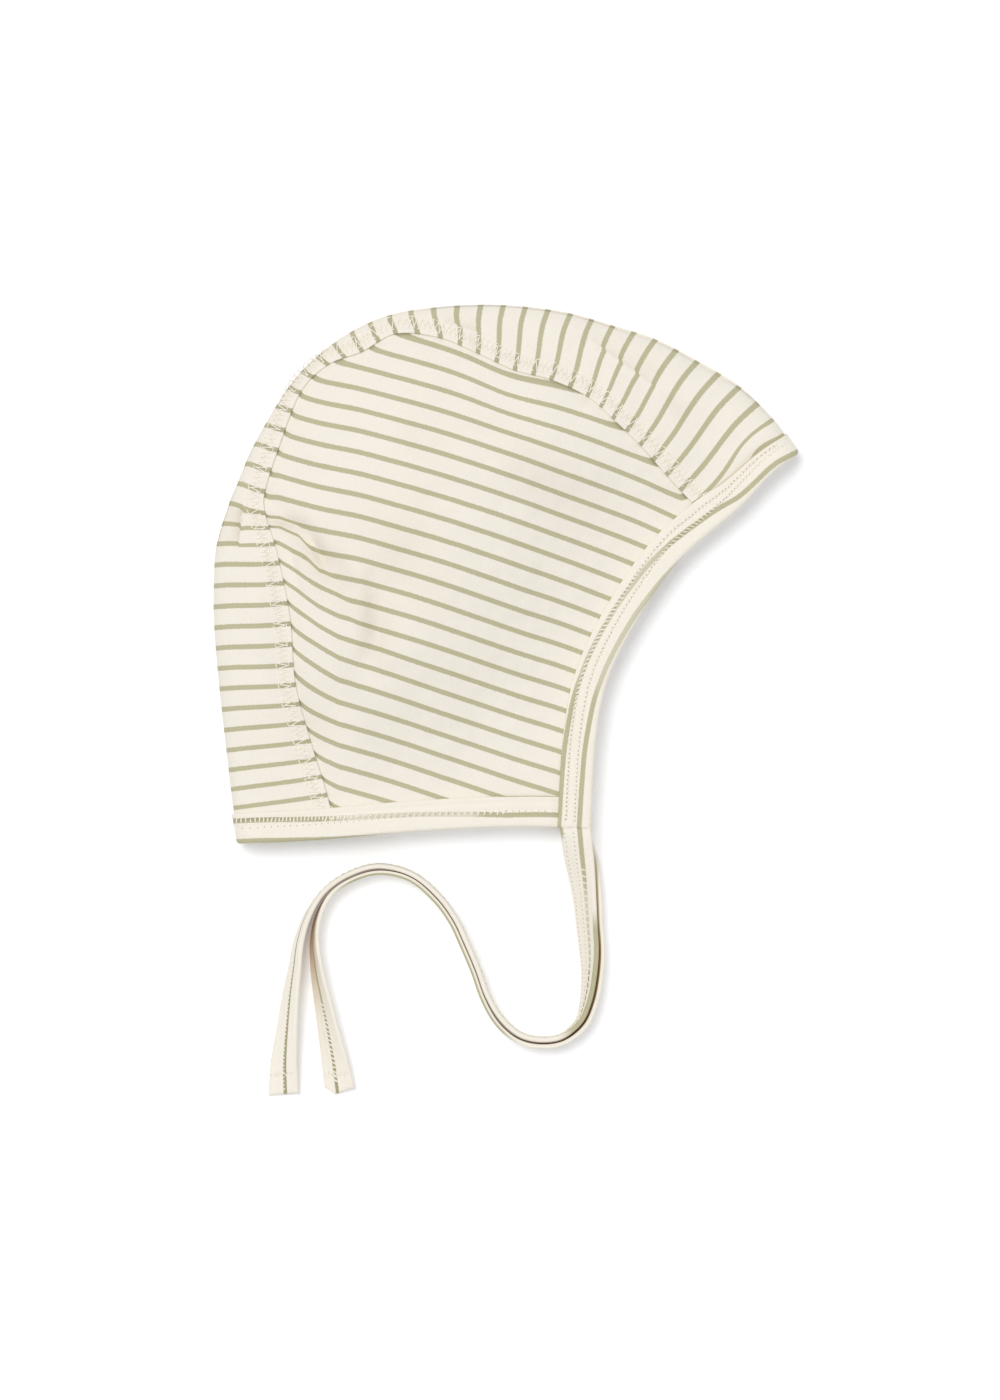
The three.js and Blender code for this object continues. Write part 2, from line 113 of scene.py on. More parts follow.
NECK_EDGE = table("along up", [
    (0.046, 0.002), (0.181, 0.01), (0.317, 0.023), (0.454, 0.032), (0.556, 0.034), (0.642, 0.03),
])
FACE_EDGE = table("along up", [
    (0.642, 0.03), (0.646, 0.121), (0.652, 0.204), (0.667, 0.292), (0.696, 0.368), (0.744, 0.457),
    (0.795, 0.53), (0.848, 0.581), (0.898, 0.627), (0.952, 0.689), (0.993, 0.722),
])

# Folds and dents of the upper layer: centre, direction in degrees from +X, half length and half width as
# shares of the bonnet's length, and rise in millimetres.
FOLDS = table("along up turn length width rise", [
    (0.165, 0.56, -46, 0.09, 0.018, -2.6),
    (0.244, 0.43, -88, 0.12, 0.026, 2.0),
    (0.275, 0.38, 74, 0.1, 0.026, -1.6),
    (0.317, 0.51, 20, 0.08, 0.05, -1.3),
    (0.275, 0.8, -20, 0.09, 0.045, -1.2),
    (0.556, 0.64, -15, 0.13, 0.055, -1.5),
    (0.19, 0.23, 80, 0.09, 0.045, -1.2),
    (0.118, 0.4, 92, 0.13, 0.022, 1.3),
    (0.05, 0.6, 25, 0.045, 0.018, -1.2),
])

# Smaller folds that only the visual pieces have, in the same terms
FINE_FOLDS = table("along up turn length width rise", [
    (0.118, 0.598, -9, 0.044, 0.0085, -1.3),
    (0.136, 0.524, -78, 0.048, 0.008, -0.9),
    (0.181, 0.539, -68, 0.038, 0.008, -1.2),
    (0.211, 0.485, -39, 0.022, 0.009, -1.1),
    (0.273, 0.432, -85, 0.06, 0.03, -0.9),
    (0.249, 0.335, 63, 0.06, 0.026, -0.7),
    (0.249, 0.487, -80, 0.05, 0.014, 0.6),
    (0.447, 0.931, 80, 0.024, 0.012, -0.5),
    (0.644, 0.843, 75, 0.026, 0.01, -0.5),
    (0.79, 0.808, -50, 0.03, 0.013, -0.5),
])

# Shade painted into the cloth's colour where it sags or is pinched, in the same terms: its depth from 0 to 1
SHADES = table("along up turn length width depth", [
    (0.324, 0.528, -60, 0.1, 0.06, 0.1),
    (0.368, 0.731, 90, 0.1, 0.06, 0.045),
    (0.564, 0.676, -42, 0.13, 0.05, 0.055),
    (0.447, 0.931, 80, 0.02, 0.013, 0.1),
    (0.644, 0.843, 75, 0.024, 0.01, 0.1),
    (0.794, 0.806, -50, 0.028, 0.014, 0.08),
    (0.74, 0.887, -35, 0.022, 0.01, 0.07),
    (0.915, 0.717, 42, 0.032, 0.008, 0.2),
    (0.14, 0.22, 0, 0.07, 0.045, 0.045),
    (0.118, 0.598, -9, 0.045, 0.012, 0.16),
    (0.177, 0.524, -58, 0.065, 0.03, 0.17),
    (0.27, 0.41, -75, 0.075, 0.03, 0.14),
])

# The route of the two ties, as in the CAD source: east and north of the chin's corner, half the distance
# between them, their lean from flat to standing on edge, and how much higher the right one lies.
TIE_ROUTE = table("east north spread lean rise", [
    (-3.4, -0.3, 1.2, 4, 10.9),
    (-3, -6.4, 0.8, 14, 8),
    (-1.8, -13.9, 0.8, 33, 4.3),
    (-0.8, -21.4, 0.9, 46, 1.9),
    (-0.2, -28.9, 0.86, 51, 1.2),
    (0.5, -36.4, 0.92, 56, 0.9),
    (0.6, -43.9, 0.98, 66, 0.6),
    (-0.3, -51.4, 1, 74, 0.3),
    (-2.6, -58.3, 1, 84, 0),
    (-8.1, -63.2, 1, 90, 0),
    (-14.9, -64.3, 1, 90, 0),
    (-21.6, -62.7, 1, 90, 0),
    (-27.4, -57.8, 1, 90, 0),
    (-31.7, -50.8, 1, 90, 0),
    (-34.7, -42.6, 1, 90, 0),
    (-38, -34.8, 1, 90, 0),
    (-41.4, -27.6, 1, 90, 0),
    (-46.4, -20.8, 1, 90, 0),
    (-53.9, -14.6, 1, 90, 0),
    (-63.5, -12.2, 1, 90, 0),
    (-72.3, -14.6, 1, 90, 0),
    (-79.1, -19.4, 1.1, 89, 0),
    (-83.3, -26.4, 1.6, 83, 0),
    (-85.2, -34.2, 2.4, 76, 0),
    (-85.5, -42.4, 3.4, 68, 0),
    (-85.4, -51, 4.8, 58, 0),
    (-84.8, -60.4, 6.2, 47, 0),
    (-84, -70, 7.6, 29, 0),
    (-83.1, -79.8, 8.5, 8, 0),
])

# How far the side panel's stripes drop towards the face, in millimetres, every 12 mm from 19.8 mm east of
# the nape: the upper stripes, and the lower ones.
STRIPE_DROP = table("above below", [
    (-9.3, -9.3), (-5.9, -5.9), (-3.3, -3.3), (0, 0), (3.45, 3.75), (7.2, 7.8), (11.1, 11.85),
    (15.3, 15.6), (19.5, 20.1), (24, 24.9), (29.4, 30.3),
])
DROP_FROM = 19.8
DROP_STEP = 12
FIRST_STRIPE_UP = 146.0

# The crease that starts at the seam's corner, every 6 mm from the same place: how far down it lies, and how
# far it pulls up the stripes below it, in millimetres.
CREASE = table("down pull", [
    (50, 8), (52.5, 5.9), (65, 3.8), (70, 1.7), (80, 1.1), (84, 0.9), (88, 0.6), (92, 0.3), (96, 0),
])
CREASE_STEP = 6

# Small creases of the centre panel: both ends as shares of the bonnet's length and height, how far the cloth
# steps down on the right of each, in millimetres, and how far the stripes jump on its left, in pitches.
CREASES = table("from_along from_up to_along to_up step jump", [
    (0.051, 0.634, 0.043, 0.54, 0.6, 0.2),
    (0.76, 0.84, 0.622, 0.95, 0.3, -0.14),
    (0.456, 0.945, 0.376, 0.975, 0.3, -0.13),
])

# The pucker beside the face binding at the peak, in the terms of FOLDS, with a height of one
PUCKER = table("along up turn length width height", [(0.922, 0.737, 40, 0.043, 0.021, 1)])


def column(rows, name):
    """One named column of a table, as an array."""
    return np.array([row[name] for row in rows], float)


def unit(vectors):
    """Vectors of length one."""
    return vectors / np.maximum(np.linalg.norm(vectors, axis=-1, keepdims=True), 1e-12)


def soften(value):
    """Smooth step from 0 at 0 to 1 at 1: three squares less two cubes."""
    value = np.clip(value, 0, 1)
    return value * value * (3 - 2 * value)


def bell(value):
    """Gaussian bump of height one at 0."""
    return np.exp(-value * value)


def window(value, start, rise, end, fall):
    """One between two places: a smooth step up from start over rise, and one down to end over fall."""
    return soften((value - start) / rise) * soften((end - value) / fall)


def through(values, share):
    """Smooth curve through evenly paced values, a Catmull-Rom cubic, read at shares from 0 to 1."""
    values = np.asarray(values, float)
    share = np.asarray(share, float)
    padded = np.concatenate([2 * values[:1] - values[1:2], values, 2 * values[-1:] - values[-2:-1]])
    place = np.clip(share, 0, 1) * (len(values) - 1)
    i = np.minimum(place.astype(int), len(values) - 2)
    t = (place - i)[(...,) + (None,) * (values.ndim - 1)]
    a, b, c, d = (padded[i + k] for k in range(4))
    return b + 0.5 * t * (c - a + t * (2 * a - 5 * b + 4 * c - d + t * (3 * (b - c) + d - a)))


def plan_curve(rows, along, up):
    """Plan curve through a table's rows, read at shares from 0 to 1."""
    points = np.stack([BONNET_LENGTH * column(rows, along), BONNET_HEIGHT * column(rows, up)], axis=-1)
    return lambda share: through(points, share)


class Paced:
    """A curve read at a distance from its start: the share comes from its running length."""

    def __init__(self, curve):
        steps = 600
        self.curve = curve
        self.shares = np.linspace(0, 1, steps + 1)
        lengths = np.linalg.norm(np.diff(curve(self.shares), axis=0), axis=-1)
        self.run = np.concatenate([[0], np.cumsum(lengths)])
        self.length = self.run[-1]

    def share(self, distance):
        return np.interp(distance, self.run, self.shares)

    def at(self, distance):
        return self.curve(self.share(distance))


crown_fold = plan_curve(SECTIONS, "fold_along", "fold_up")
side_seam = plan_curve(SECTIONS, "seam_along", "seam_up")
neck_edge = Paced(plan_curve(NECK_EDGE, "along", "up"))
face_edge = Paced(plan_curve(FACE_EDGE, "along", "up"))
fold_line = Paced(crown_fold)


def distance_to(points):
    """Distance from plan points to a polyline: the least of the distances to its segments."""

    def measure(p):
        least = np.full(p.shape[:-1], np.inf)
        for start, span in zip(points[:-1], np.diff(points, axis=0)):
            reach = p - start
            share = np.clip(reach @ span / (span @ span), 0, 1)
            least = np.minimum(least, np.linalg.norm(reach - share[..., None] * span, axis=-1))
        return least

    return measure


to_fold = distance_to(crown_fold(np.linspace(0, 1, 161)))
to_neck = distance_to(neck_edge.at(np.linspace(0, neck_edge.length, 31)))
to_face = distance_to(face_edge.at(np.linspace(0, face_edge.length, 51)))

PANEL_GAP = CAD_CLOTH / 2 + FIT
BINDING_HALF = PANEL_GAP + BINDING_WALL
PANEL_INSET = BINDING_WALL + 2 * FIT
FOLD_LEVEL = (EDGE_RISE + BINDING_HALF) / 2


def band_along(edge, width, fold_is_last):
    """Plan points of a binding's band from the distance along its edge to the crown fold and the distance
    inwards. The way inwards is square to the edge, and turns to the fold's own direction beside the fold."""
    corner = crown_fold(1.0 if fold_is_last else 0.0)
    inner = fold_line.at(fold_line.length - width if fold_is_last else width)
    foldward = unit(inner - corner)

    def point(from_fold, inwards):
        from_fold = np.asarray(from_fold, float)
        place = edge.length - from_fold if fold_is_last else from_fold
        ahead = edge.at(np.minimum(place + 0.5, edge.length))
        way = unit(ahead - edge.at(np.maximum(place - 0.5, 0)))
        across = np.stack([-way[..., 1], way[..., 0]], axis=-1)
        share = (1 - soften(from_fold / (2 * FOLD_DEPTH)))[..., None]
        across = unit(across + (foldward - across) * share)
        return edge.at(place) + across * np.asarray(inwards, float)[..., None]

    return point


neck_band = band_along(neck_edge, NECK_BINDING_WIDTH, False)
face_band = band_along(face_edge, FACE_BINDING_WIDTH, True)


def pinned(curve, start, end):
    """A curve whose ends are drawn to given points, with fourth-power weights that spare its middle."""
    low, high = start - curve(np.array(0.0)), end - curve(np.array(1.0))

    def drawn(share):
        share = np.asarray(share, float)
        return curve(share) + low * (1 - share[..., None]) ** 4 + high * share[..., None] ** 4

    return drawn


def patch(left, right, bottom, top):
    """Coons patch: the sum of its two ruled surfaces less the bilinear one through its corners."""
    zero, one = np.array(0.0), np.array(1.0)
    left_side = pinned(left, bottom(zero), top(zero))
    right_side = pinned(right, bottom(one), top(one))

    def plan(u, v):
        a, b = u[..., None], v[..., None]
        upright = left_side(v) * (1 - a) + right_side(v) * a
        level = bottom(u) * (1 - b) + top(u) * b
        low = bottom(zero) * (1 - a) + bottom(one) * a
        high = top(zero) * (1 - a) + top(one) * a
        return upright + level - low * (1 - b) - high * b

    return plan


neck_start, peak_end = SECTIONS[0], SECTIONS[-1]
NECK_SEAM = BONNET_LENGTH * (neck_start["seam_along"] - neck_start["fold_along"])
FACE_SEAM = math.hypot(
    BONNET_LENGTH * (peak_end["fold_along"] - peak_end["seam_along"]),
    BONNET_HEIGHT * (peak_end["fold_up"] - peak_end["seam_up"]),
)
seam_line = pinned(side_seam, neck_band(NECK_SEAM, PANEL_INSET), face_band(FACE_SEAM, PANEL_INSET))
seam_run = Paced(seam_line)
to_seam = distance_to(seam_line(np.linspace(0, 1, 200)))


def beside_seam(share, out):
    """Plan points beside the seam, a distance out towards the side panel, square to it."""
    step = 0.004
    way = unit(seam_line(np.minimum(share + step, 1)) - seam_line(np.maximum(share - step, 0)))
    square = np.stack([way[..., 1], -way[..., 0]], axis=-1)
    return seam_line(share) + square * np.asarray(out, float)[..., None]


def bumps(rows, p, name):
    """Sum of a table's stretched and turned Gaussian bumps over plan points."""
    total = np.zeros(p.shape[:-1])
    for bump in rows:
        turn = math.radians(bump["turn"])
        dx = p[..., 0] - BONNET_LENGTH * bump["along"]
        dy = p[..., 1] - BONNET_HEIGHT * bump["up"]
        lengthwise = (dx * math.cos(turn) + dy * math.sin(turn)) / (BONNET_LENGTH * bump["length"])
        crosswise = (dy * math.cos(turn) - dx * math.sin(turn)) / (BONNET_LENGTH * bump["width"])
        total += bump[name] * np.exp(-(lengthwise**2) - crosswise**2)
    return total


def waves(p, size, seed):
    """Soft random relief: seven sine waves of about one size in seeded directions, averaged."""
    count = 7
    rng = np.random.default_rng(seed)
    total = np.zeros(p.shape[:-1])
    for _ in range(count):
        turn, phase = rng.uniform(0, 2 * math.pi, 2)
        length = size * rng.uniform(0.7, 1.4)
        along = p[..., 0] * math.cos(turn) + p[..., 1] * math.sin(turn)
        total += np.sin(2 * math.pi * along / length + phase)
    return total / math.sqrt(count)


def cloth_height(p, side):
    """Height of the middle of the cloth over plan points. The layers part from the crown fold in a quarter
    ellipse; the upper one then rises in a dome and the lower one settles on the surface."""
    from_fold = to_fold(p)
    from_neck = to_neck(p) - NECK_BINDING_WIDTH
    from_face = to_face(p) - FACE_BINDING_WIDTH
    unbound = soften(np.minimum(from_neck, from_face) / SETTLE)
    turned = 1 - np.minimum(from_fold / FOLD_DEPTH, 1)
    opened = np.where(side == 0, 0, np.sqrt(1 - turned * turned))
    dome = soften(from_fold / LOFT_REACH) * soften(from_neck / LOFT_REACH) * soften(from_face / LOFT_REACH)
    relief = bumps(FOLDS, p, "rise") + 0.16 * waves(p, 17, 3) + 0.07 * waves(p, 7, 5)
    relief = relief + bumps(FINE_FOLDS, p, "rise") * (np.asarray(side) > 0)
    upper = EDGE_RISE + LOFT * dome + relief * unbound
    lower = FOLDED_HALF + (CLOTH / 2 - FOLDED_HALF) * unbound
    level = np.where(np.asarray(side) > 0, upper, lower)
    return FOLD_LEVEL + (level - FOLD_LEVEL) * opened


def lap(p, sign):
    """Height that the seam's lap adds beside it: the centre panel lies on the side panel."""
    return sign * LAP_RISE * bell(to_seam(p) / LAP_REACH)


def upper_cloth(p, lift, sign=0):
    """Points on the upper cloth over plan points, lifted square to it. sign is 1 on the centre panel, beside
    the seam, and -1 on the side panel."""
    step = 0.25

    def height(q):
        return cloth_height(q, 1) + lap(q, sign)

    east = (height(p + [step, 0]) - height(p - [step, 0])) / (2 * step)
    north = (height(p + [0, step]) - height(p - [0, step])) / (2 * step)
    normal = unit(np.stack([-east, -north, np.ones_like(east)], axis=-1))
    middle = np.concatenate([p, height(p)[..., None]], axis=-1)
    return middle + normal * np.asarray(lift, float)[..., None]


def crease_marks(p):
    """How far the small creases of the centre panel lower the cloth at plan points and move its stripes, and
    the shade painted beside them. Each fades sideways from its line, and towards both ends."""
    lowered, moved, shade = (np.zeros(p.shape[:-1]) for _ in range(3))
    for crease in CREASES:
        start = np.array([BONNET_LENGTH * crease["from_along"], BONNET_HEIGHT * crease["from_up"]])
        end = np.array([BONNET_LENGTH * crease["to_along"], BONNET_HEIGHT * crease["to_up"]])
        length = np.linalg.norm(end - start)
        way = (end - start) / length
        along = (p - start) @ way / length
        left = (p - start) @ np.array([-way[1], way[0]])
        ends = window(along, 0, 0.22, 1, 0.35)
        on_left, on_right = soften(left / 0.5 + 0.5), soften(0.5 - left / 0.5)
        lowered += crease["step"] * ends * on_right * np.exp(np.minimum(left, 0) / 2.4)
        moved += crease["jump"] * ends * on_left * np.exp(-np.maximum(left, 0) / 3.4)
        # Painted shade on the lowered side of the crease
        shade += crease["step"] * ends * on_right * np.exp(np.minimum(left, 0) / 2.0)
    return lowered, moved, shade


# The frame's own place in the row frame, read from a CAD piece
centre_low, centre_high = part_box("centre_panel")
fold_rows = crown_fold(np.linspace(0, 1, 2 * (len(SECTIONS) - 1) + 1))
SHIFT = np.array([
    fold_rows[:, 0].min() - CAD_CLOTH / 2 - 1000 * centre_low.x,
    fold_rows[:, 1].max() + CAD_CLOTH / 2 - 1000 * centre_high.y,
    0,
])


def to_frame(points):
    """Millimetres of the plan to metres of the row frame."""
    return (points - SHIFT) * 0.001


def grid_normals(grid):
    """Normals of a grid of points: the cross product of its two central differences."""
    rows = np.concatenate([grid[:1], grid, grid[-1:]])
    columns = np.concatenate([grid[:, :1], grid, grid[:, -1:]], axis=1)
    return unit(np.cross(rows[2:] - rows[:-2], columns[:, 2:] - columns[:, :-2]))


def half_thickness(rim, thickness):
    """Half of a wall's thickness, rounded off towards its free edge as a quarter circle."""
    near = 1 - np.clip(rim / (thickness / 2), 0, 1)
    return thickness / 2 * np.sqrt(np.maximum(1 - near * near, 0.02))


def quads_of(rows, columns, around=False):
    """Corner numbers of the quads of a grid, closed the second way round if around is true."""
    i, j = np.meshgrid(np.arange(rows - 1), np.arange(columns if around else columns - 1), indexing="ij")
    k = (j + 1) % columns
    here, ahead = i * columns, (i + 1) * columns
    return np.stack([here + j, ahead + j, ahead + k, here + k], axis=-1)


def add_object(name, data):
    """A new object in the scene."""
    made = bpy.data.objects.new(name, data)
    bpy.context.scene.collection.objects.link(made)
    return made


def make_piece(name, points, faces, material, look=None, weave=None):
    """A mesh object riding the body, from points in millimetres and quads, turned outwards by its volume."""
    points = to_frame(np.asarray(points, float))
    faces = np.asarray(faces).reshape(-1, 4)
    a, b, c, d = (points[faces[:, k]] for k in range(4))
    volume = (a * np.cross(b, c)).sum() + (a * np.cross(c, d)).sum()
    if volume < 0:
        faces = faces[:, ::-1]
    mesh = bpy.data.meshes.new(name)
    mesh.vertices.add(len(points))
    mesh.vertices.foreach_set("co", points.astype(np.float32).ravel())
    mesh.loops.add(faces.size)
    mesh.loops.foreach_set("vertex_index", faces.astype(np.int32).ravel())
    mesh.polygons.add(len(faces))
    mesh.polygons.foreach_set("loop_start", np.arange(0, faces.size, 4, dtype=np.int32))
    mesh.polygons.foreach_set("use_smooth", np.ones(len(faces), bool))
    mesh.update(calc_edges=True)
    for title, values in (("look", look), ("weave", weave)):
        if values is not None:
            attribute = mesh.attributes.new(title, "FLOAT_VECTOR", "POINT")
            attribute.data.foreach_set("vector", np.asarray(values, np.float32).ravel())
    mesh.materials.append(material)
    piece = add_object(name, mesh)
    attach(piece, "root")
    return piece


def shell(name, outer, inner, material, look, weave, inner_look=None):
    """A closed wall between two grids of the same shape, joined round their rim. look and weave are grids of
    values that both faces share, unless the inner one has its own look."""
    rows, columns = outer.shape[:2]
    count = rows * columns
    front = quads_of(rows, columns).reshape(-1, 4)
    back = front[:, ::-1] + count
    top = np.arange(columns)
    rim = np.concatenate([
        np.arange(rows - 1) * columns,
        (rows - 1) * columns + top[:-1],
        (np.arange(rows - 1, 0, -1)) * columns + columns - 1,
        top[:0:-1],
    ])
    ahead = np.roll(rim, -1)
    side = np.stack([ahead, rim, rim + count, ahead + count], axis=-1)
    points = np.concatenate([outer.reshape(-1, 3), inner.reshape(-1, 3)])
    look = np.concatenate([look.reshape(-1, 3), (look if inner_look is None else inner_look).reshape(-1, 3)])
    weave = np.concatenate([weave.reshape(-1, 3)] * 2)
    return make_piece(name, points, np.concatenate([front, back, side]), material, look, weave)


def fine_ends(count, reach):
    """Shares from 0 to 1 in even steps, with closer ones a few tenths of a millimetre from both ends of a
    span that is reach millimetres long."""
    even = np.linspace(0, 1, count + 1)
    close = np.array([0.04, 0.1, 0.2, 0.36, 0.6]) / reach
    inside = even[(even > close[-1] * 1.3) & (even < 1 - close[-1] * 1.3)]
    return np.concatenate([[0], close, inside, 1 - close[::-1], [1]])


# Materials
def linear(hex_colour):
    """An sRGB hex colour as linear RGBA."""
    parts = np.array([int(hex_colour[i : i + 2], 16) for i in (1, 3, 5)]) / 255
    bright = np.where(parts <= 0.04045, parts / 12.92, ((parts + 0.055) / 1.055) ** 2.4)
    return (*bright, 1.0)


def node(tree, kind, inputs=(), **settings):
    """Adds a shader node. Its inputs, by name or in order, are values or the sockets of other nodes."""
    made = tree.nodes.new(kind)
    for name, value in settings.items():
        setattr(made, name, value)
    for name, value in inputs.items() if isinstance(inputs, dict) else enumerate(inputs):
        if isinstance(value, bpy.types.NodeSocket):
            tree.links.new(value, made.inputs[name])
        else:
            made.inputs[name].default_value = value
    return made


def maths(tree, operation, *values, **settings):
    """Output of a math node on sockets or numbers."""
    return node(tree, "ShaderNodeMath", values, operation=operation, **settings).outputs[0]


def mix(tree, a, b, factor, blend="MIX"):
    """Output of a colour mix node."""
    inputs = {"A": a, "B": b, "Factor": factor}
    return node(tree, "ShaderNodeMix", inputs, data_type="RGBA", blend_type=blend).outputs["Result"]


def new_material(name):
    """An empty node material, and its tree."""
    material = bpy.data.materials.new(name)
    material.use_nodes = True
    material.node_tree.nodes.clear()
    return material, material.node_tree


# Spacing of the knit's wales, in millimetres
WALE = 0.45


def jersey(name, cream, sage, dark_sage, shadow):
    """Yarn-dyed cotton jersey. The look attribute holds the stripe number, the stripe's strength and painted
    shade; weave holds millimetres along the stripe and across it, and shade painted on the stripe alone."""
    material, tree = new_material(name)
    look = node(tree, "ShaderNodeSeparateXYZ", [
        node(tree, "ShaderNodeAttribute", attribute_name="look").outputs["Vector"]]).outputs
    weave = node(tree, "ShaderNodeAttribute", attribute_name="weave").outputs["Vector"]
    stripe_shade = node(tree, "ShaderNodeSeparateXYZ", [weave]).outputs["Z"]

    # Noise over the weave in millimetres: wales, the loops in them, cloudy light and uneven yarn
    fields = []
    for along, across, detail, roughness in (
        (1 / WALE, 0.55, 1, 0.5), (1 / WALE, 2.6, 1.5, 0.6), (0.09, 0.12, 2, 0.5), (0.12, 2.2, 1, 0.5)
    ):
        place = node(tree, "ShaderNodeMapping", {"Scale": (along, across, 0), "Vector": weave})
        fields.append(node(tree, "ShaderNodeTexNoise", {
            "Scale": 1, "Detail": detail, "Roughness": roughness, "Vector": place.outputs["Vector"],
        }).outputs["Fac"])
    wales, loops, clouds, slubs = fields

    # The loops make the stripe's edges and its strength uneven
    stripe = maths(tree, "ADD", look["X"], maths(tree, "MULTIPLY_ADD", loops, 0.075, -0.0375))
    off_centre = maths(tree, "PINGPONG", stripe, 0.5)
    band = node(tree, "ShaderNodeMapRange", {
        "From Min": 0.146, "From Max": 0.096, "To Min": 0, "To Max": 1, "Value": off_centre,
    }, interpolation_type="SMOOTHSTEP").outputs["Result"]
    speckle = maths(tree, "MULTIPLY_ADD", loops, -0.34, 1.12)
    strength = maths(tree, "MULTIPLY", maths(tree, "MULTIPLY", band, look["Y"]), speckle, use_clamp=True)

    # Stripes are dark sage where shade is painted on them, beside seams and stitches
    yarn = mix(tree, linear(sage), linear(dark_sage), stripe_shade)
    colour = mix(tree, linear(cream), yarn, strength)
    shaded = mix(tree, colour, linear(shadow), look["Z"], "MULTIPLY")
    light = 0.9125
    for field, weight in ((clouds, 0.05), (wales, 0.075), (slubs, 0.03)):
        light = maths(tree, "MULTIPLY_ADD", field, weight, light)
    grey = node(tree, "ShaderNodeCombineColor", [light, light, light]).outputs["Color"]
    colour = mix(tree, shaded, grey, 1, "MULTIPLY")
    height = 0
    for field, weight in ((loops, 0.4), (wales, 0.6)):
        height = maths(tree, "MULTIPLY_ADD", field, weight, height)
    bump = node(tree, "ShaderNodeBump", {"Strength": 0.55, "Distance": 0.00016, "Height": height})
    surface = node(tree, "ShaderNodeBsdfPrincipled", {
        "Base Color": colour, "Roughness": 0.94, "Specular IOR Level": 0.12, "Sheen Weight": 0.12,
        "Sheen Roughness": 0.5, "Sheen Tint": (1, 0.97, 0.92, 1), "Normal": bump.outputs["Normal"]})
    node(tree, "ShaderNodeOutputMaterial", {"Surface": surface.outputs["BSDF"]})
    return material


def cotton_thread(name, colour):
    """Twisted cotton sewing thread."""
    material, tree = new_material(name)
    place = node(tree, "ShaderNodeTexCoord").outputs["Object"]
    twist = node(tree, "ShaderNodeTexNoise", {"Scale": 2600, "Detail": 1, "Vector": place})
    bump = node(tree, "ShaderNodeBump", {
        "Strength": 0.3, "Distance": 0.0001, "Height": twist.outputs["Fac"]})
    surface = node(tree, "ShaderNodeBsdfPrincipled", {
        "Base Color": linear(colour), "Roughness": 0.7, "Specular IOR Level": 0.25, "Sheen Weight": 0.1,
        "Normal": bump.outputs["Normal"]})
    node(tree, "ShaderNodeOutputMaterial", {"Surface": surface.outputs["BSDF"]})
    return material


# Cream cotton jersey with sage stripes, of the panels
panel_jersey = jersey("striped_jersey", "#f3ecdf", "#bcb693", "#86805c", "#c8baa4")
# The same jersey cut into strips for the two bindings
binding_jersey = jersey("binding_jersey", "#f5eee0", "#bcb693", "#86805c", "#c9b78d")
# The same jersey folded into tape; its tan shadow colour is painted shade where the ties stand side by side
tie_jersey = jersey("tie_jersey", "#f6efe1", "#bab490", "#86805c", "#d0ad7a")
# Cream cotton thread of every seam
seam_thread = cotton_thread("seam_thread", "#f6efe2")
# The same thread in a dark colour, painted shade for the needle holes where it dives into the cloth
needle_hole_shade = cotton_thread("needle_hole_shade", "#a89e84")


# Camera straight above, with the frame of the photograph: 300 by 420 mm
CAMERA_HEIGHT = 2.0
PHOTO_HEIGHT = 0.42
CLOTH_LEVEL = 0.008
SENSOR_WIDTH = 36
camera_data = bpy.data.cameras.new("camera")
camera = add_object("camera", camera_data)
camera_data.sensor_width = SENSOR_WIDTH
camera_data.lens = SENSOR_WIDTH * (CAMERA_HEIGHT - CLOTH_LEVEL) / PHOTO_HEIGHT
frame_middle = to_frame(np.array([85.8, 43.5, 0.0]))
camera.location = (frame_middle[0], frame_middle[1], CAMERA_HEIGHT)
camera.rotation_euler = (0, 0, 0)
camera_data.clip_start = 0.05
camera_data.clip_end = 20
bpy.context.scene.camera = camera


# The two ties
def tie_route(share):
    """Plan points of the line midway between the ties."""
    chin = face_edge.at(0.0)
    east, north = (through(column(TIE_ROUTE, name), share) for name in ("east", "north"))
    return np.stack([chin[0] + east, chin[1] + north], axis=-1)


def tie_frames(share, side):
    """Middle of a tie and its two directions: wide leans up from the plan, and thick is square to it."""
    step = 0.002
    way = unit(tie_route(np.minimum(share + step, 1)) - tie_route(np.maximum(share - step, 0)))
    beside = np.stack([-way[:, 1], way[:, 0], np.zeros(len(way))], axis=-1)
    lean, spread, rise = (through(column(TIE_ROUTE, name), share) for name in ("lean", "spread", "rise"))
    angle = np.radians(lean)[:, None]
    up = np.array([0, 0, 1.0])
    wide = beside * np.cos(angle) + up * np.sin(angle)
    thick = -beside * np.sin(angle) + up * np.cos(angle)
    resting = TIE_WIDTH / 2 * np.sin(angle[:, 0]) + TIE_THICKNESS / 2 * np.cos(angle[:, 0])
    height = resting + (rise if side > 0 else 0)
    middle = np.concatenate([tie_route(share), height[:, None]], axis=-1)
    return middle - side * beside * spread[:, None], wide, thick


TIE_RUN = Paced(tie_route)


